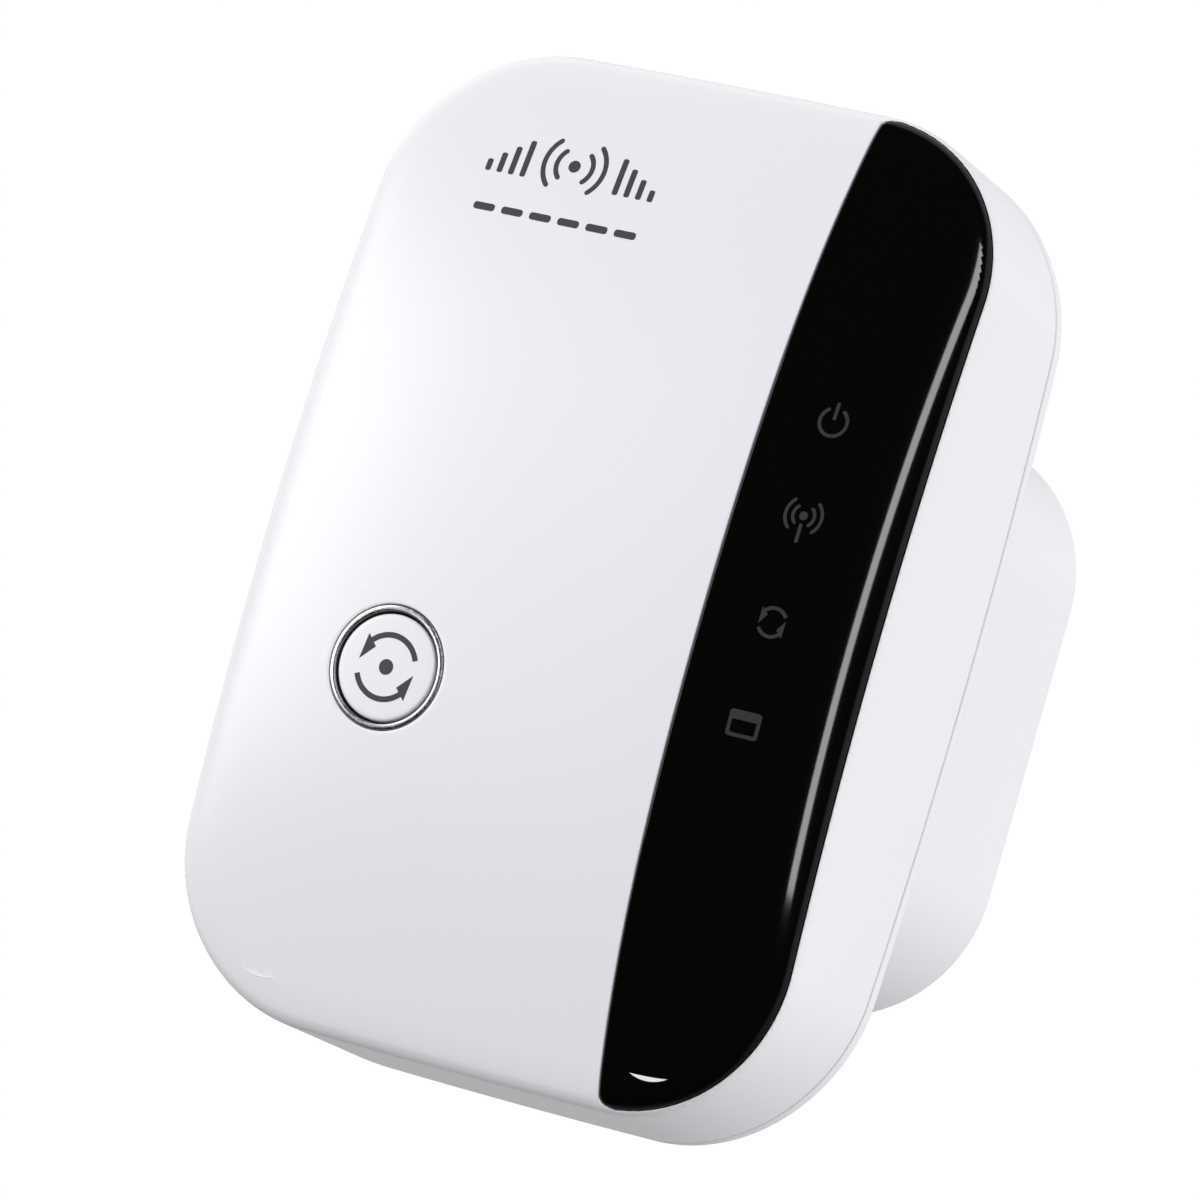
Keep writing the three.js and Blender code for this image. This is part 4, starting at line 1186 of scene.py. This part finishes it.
def studio():
    """A pale floor well below, and a white surround that only the camera sees."""
    pieces = []
    for name, finish in (("floor", studio_material("pale_floor", (0.9, 0.9, 0.9), 0.27)),
                         ("surround", studio_material("white_surround", (0, 0, 0), 1.0))):
        shape = bmesh.new()
        if name == "floor":
            bmesh.ops.create_circle(shape, cap_ends=True, segments=128, radius=DOME_RADIUS)
        else:
            bmesh.ops.create_icosphere(shape, subdivisions=5, radius=DOME_RADIUS)
        mesh = bpy.data.meshes.new(name)
        shape.to_mesh(mesh)
        shape.free()
        mesh.materials.append(finish)
        piece = bpy.data.objects.new(name, mesh)
        for ray in ("diffuse", "glossy", "transmission", "shadow", "volume_scatter"):
            setattr(piece, f"visible_{ray}", False)
        bpy.context.scene.collection.objects.link(piece)
        pieces.append(piece)
    ground, dome = pieces
    ground.location.z = FLOOR_Z
    dome.data.shade_smooth()


def direction(azimuth, elevation):
    """Unit vector towards a place round the object; azimuth 0 is in front and 90 to the right."""
    a, e = math.radians(azimuth), math.radians(elevation)
    return Vector((math.sin(a) * math.cos(e), -math.cos(a) * math.cos(e), math.sin(e)))


def world(up, down, flag_azimuth, flag_elevation):
    """Soft light from all round, weaker from below; reflections have a dark flag in front."""
    made = bpy.data.worlds.new("studio_light")
    made.use_nodes = True
    sky = Nodes(made.node_tree)
    background = sky.nodes["Background"].inputs
    where = sky.new("ShaderNodeTexCoord").outputs["Generated"]

    def towards(vector):
        dot = sky.new("ShaderNodeVectorMath", {0: where, 1: vector}, operation="DOT_PRODUCT")
        return dot.outputs["Value"]

    def fade(value, low, high, to_low, to_high):
        return sky.ramp(value, low, high, to_low, to_high, "SMOOTHSTEP")

    flag_strength = 0.985
    outer, inner = math.cos(math.radians(58)), math.cos(math.radians(38))
    round_flag = fade(towards(direction(flag_azimuth, flag_elevation)), outer, inner, 0, flag_strength)
    side = sky.math("ABSOLUTE", towards(direction(flag_azimuth + 90, 0)), 0)
    front = fade(towards(direction(flag_azimuth, 0)), 0.25, 0.45, 0, flag_strength)
    upright_flag = sky.math("MULTIPLY", fade(side, 0.42, 0.60, 1, 0), front)
    flag = sky.math("MAXIMUM", round_flag, upright_flag)
    glossy = sky.new("ShaderNodeLightPath").outputs["Is Glossy Ray"]
    kept = sky.math("SUBTRACT", 1.0, sky.math("MULTIPLY", flag, glossy))
    height = fade(towards((0, 0, 1)), -0.9, 0.35, down, up)
    sky.links.new(sky.math("MULTIPLY", height, kept), background["Strength"])
    background["Color"].default_value = (0.985, 0.99, 1.0, 1.0)
    bpy.context.scene.world = made


def softbox(name, azimuth, elevation, distance, width, height, radiance, glossy=True, diffuse=True):
    light = bpy.data.lights.new(name, "AREA")
    light.shape = "RECTANGLE"
    light.size, light.size_y = width, height
    light.energy = radiance * math.pi * width * height
    lamp = bpy.data.objects.new(name, light)
    back = direction(azimuth, elevation)
    lamp.location = back * distance
    lamp.rotation_mode = "QUATERNION"
    lamp.rotation_quaternion = back.to_track_quat("Z", "Y")
    lamp.visible_glossy = glossy
    lamp.visible_diffuse = diffuse
    lamp.visible_camera = False
    bpy.context.scene.collection.objects.link(lamp)


def camera():
    """The photographed view: from the right and a little below, rolled a little."""
    right = Vector((0.87692, 0.39101, 0.27949))
    up = Vector((-0.20500, -0.22169, 0.95333))
    forward = Vector((-0.43472, 0.89329, 0.11424))
    data = bpy.data.cameras.new("camera")
    data.lens, data.sensor_width = 188.05, 36
    data.clip_start, data.clip_end = 0.01, 20
    made = bpy.data.objects.new("camera", data)
    made.matrix_world = Matrix((
        (right.x, up.x, -forward.x, 0.25626),
        (right.y, up.y, -forward.y, -0.56343),
        (right.z, up.z, -forward.z, -0.06662),
        (0, 0, 0, 1),
    ))
    bpy.context.scene.collection.objects.link(made)
    bpy.context.scene.camera = made


studio()
world(0.82, 0.21, -8, 5)
softbox("left_window", -41, 7, 1.3, 0.48, 0.62, 7.0)
softbox("edge_strip", -1.5, 13, 1.3, 0.11, 0.95, 13, diffuse=False)
softbox("key", -60, 40, 1.8, 1.2, 1.2, 0.6, glossy=False)
softbox("right_fill", 95, -14, 1.6, 1.0, 1.4, 2.8, glossy=False)
camera()
bpy.context.scene.view_settings.view_transform = "Standard"
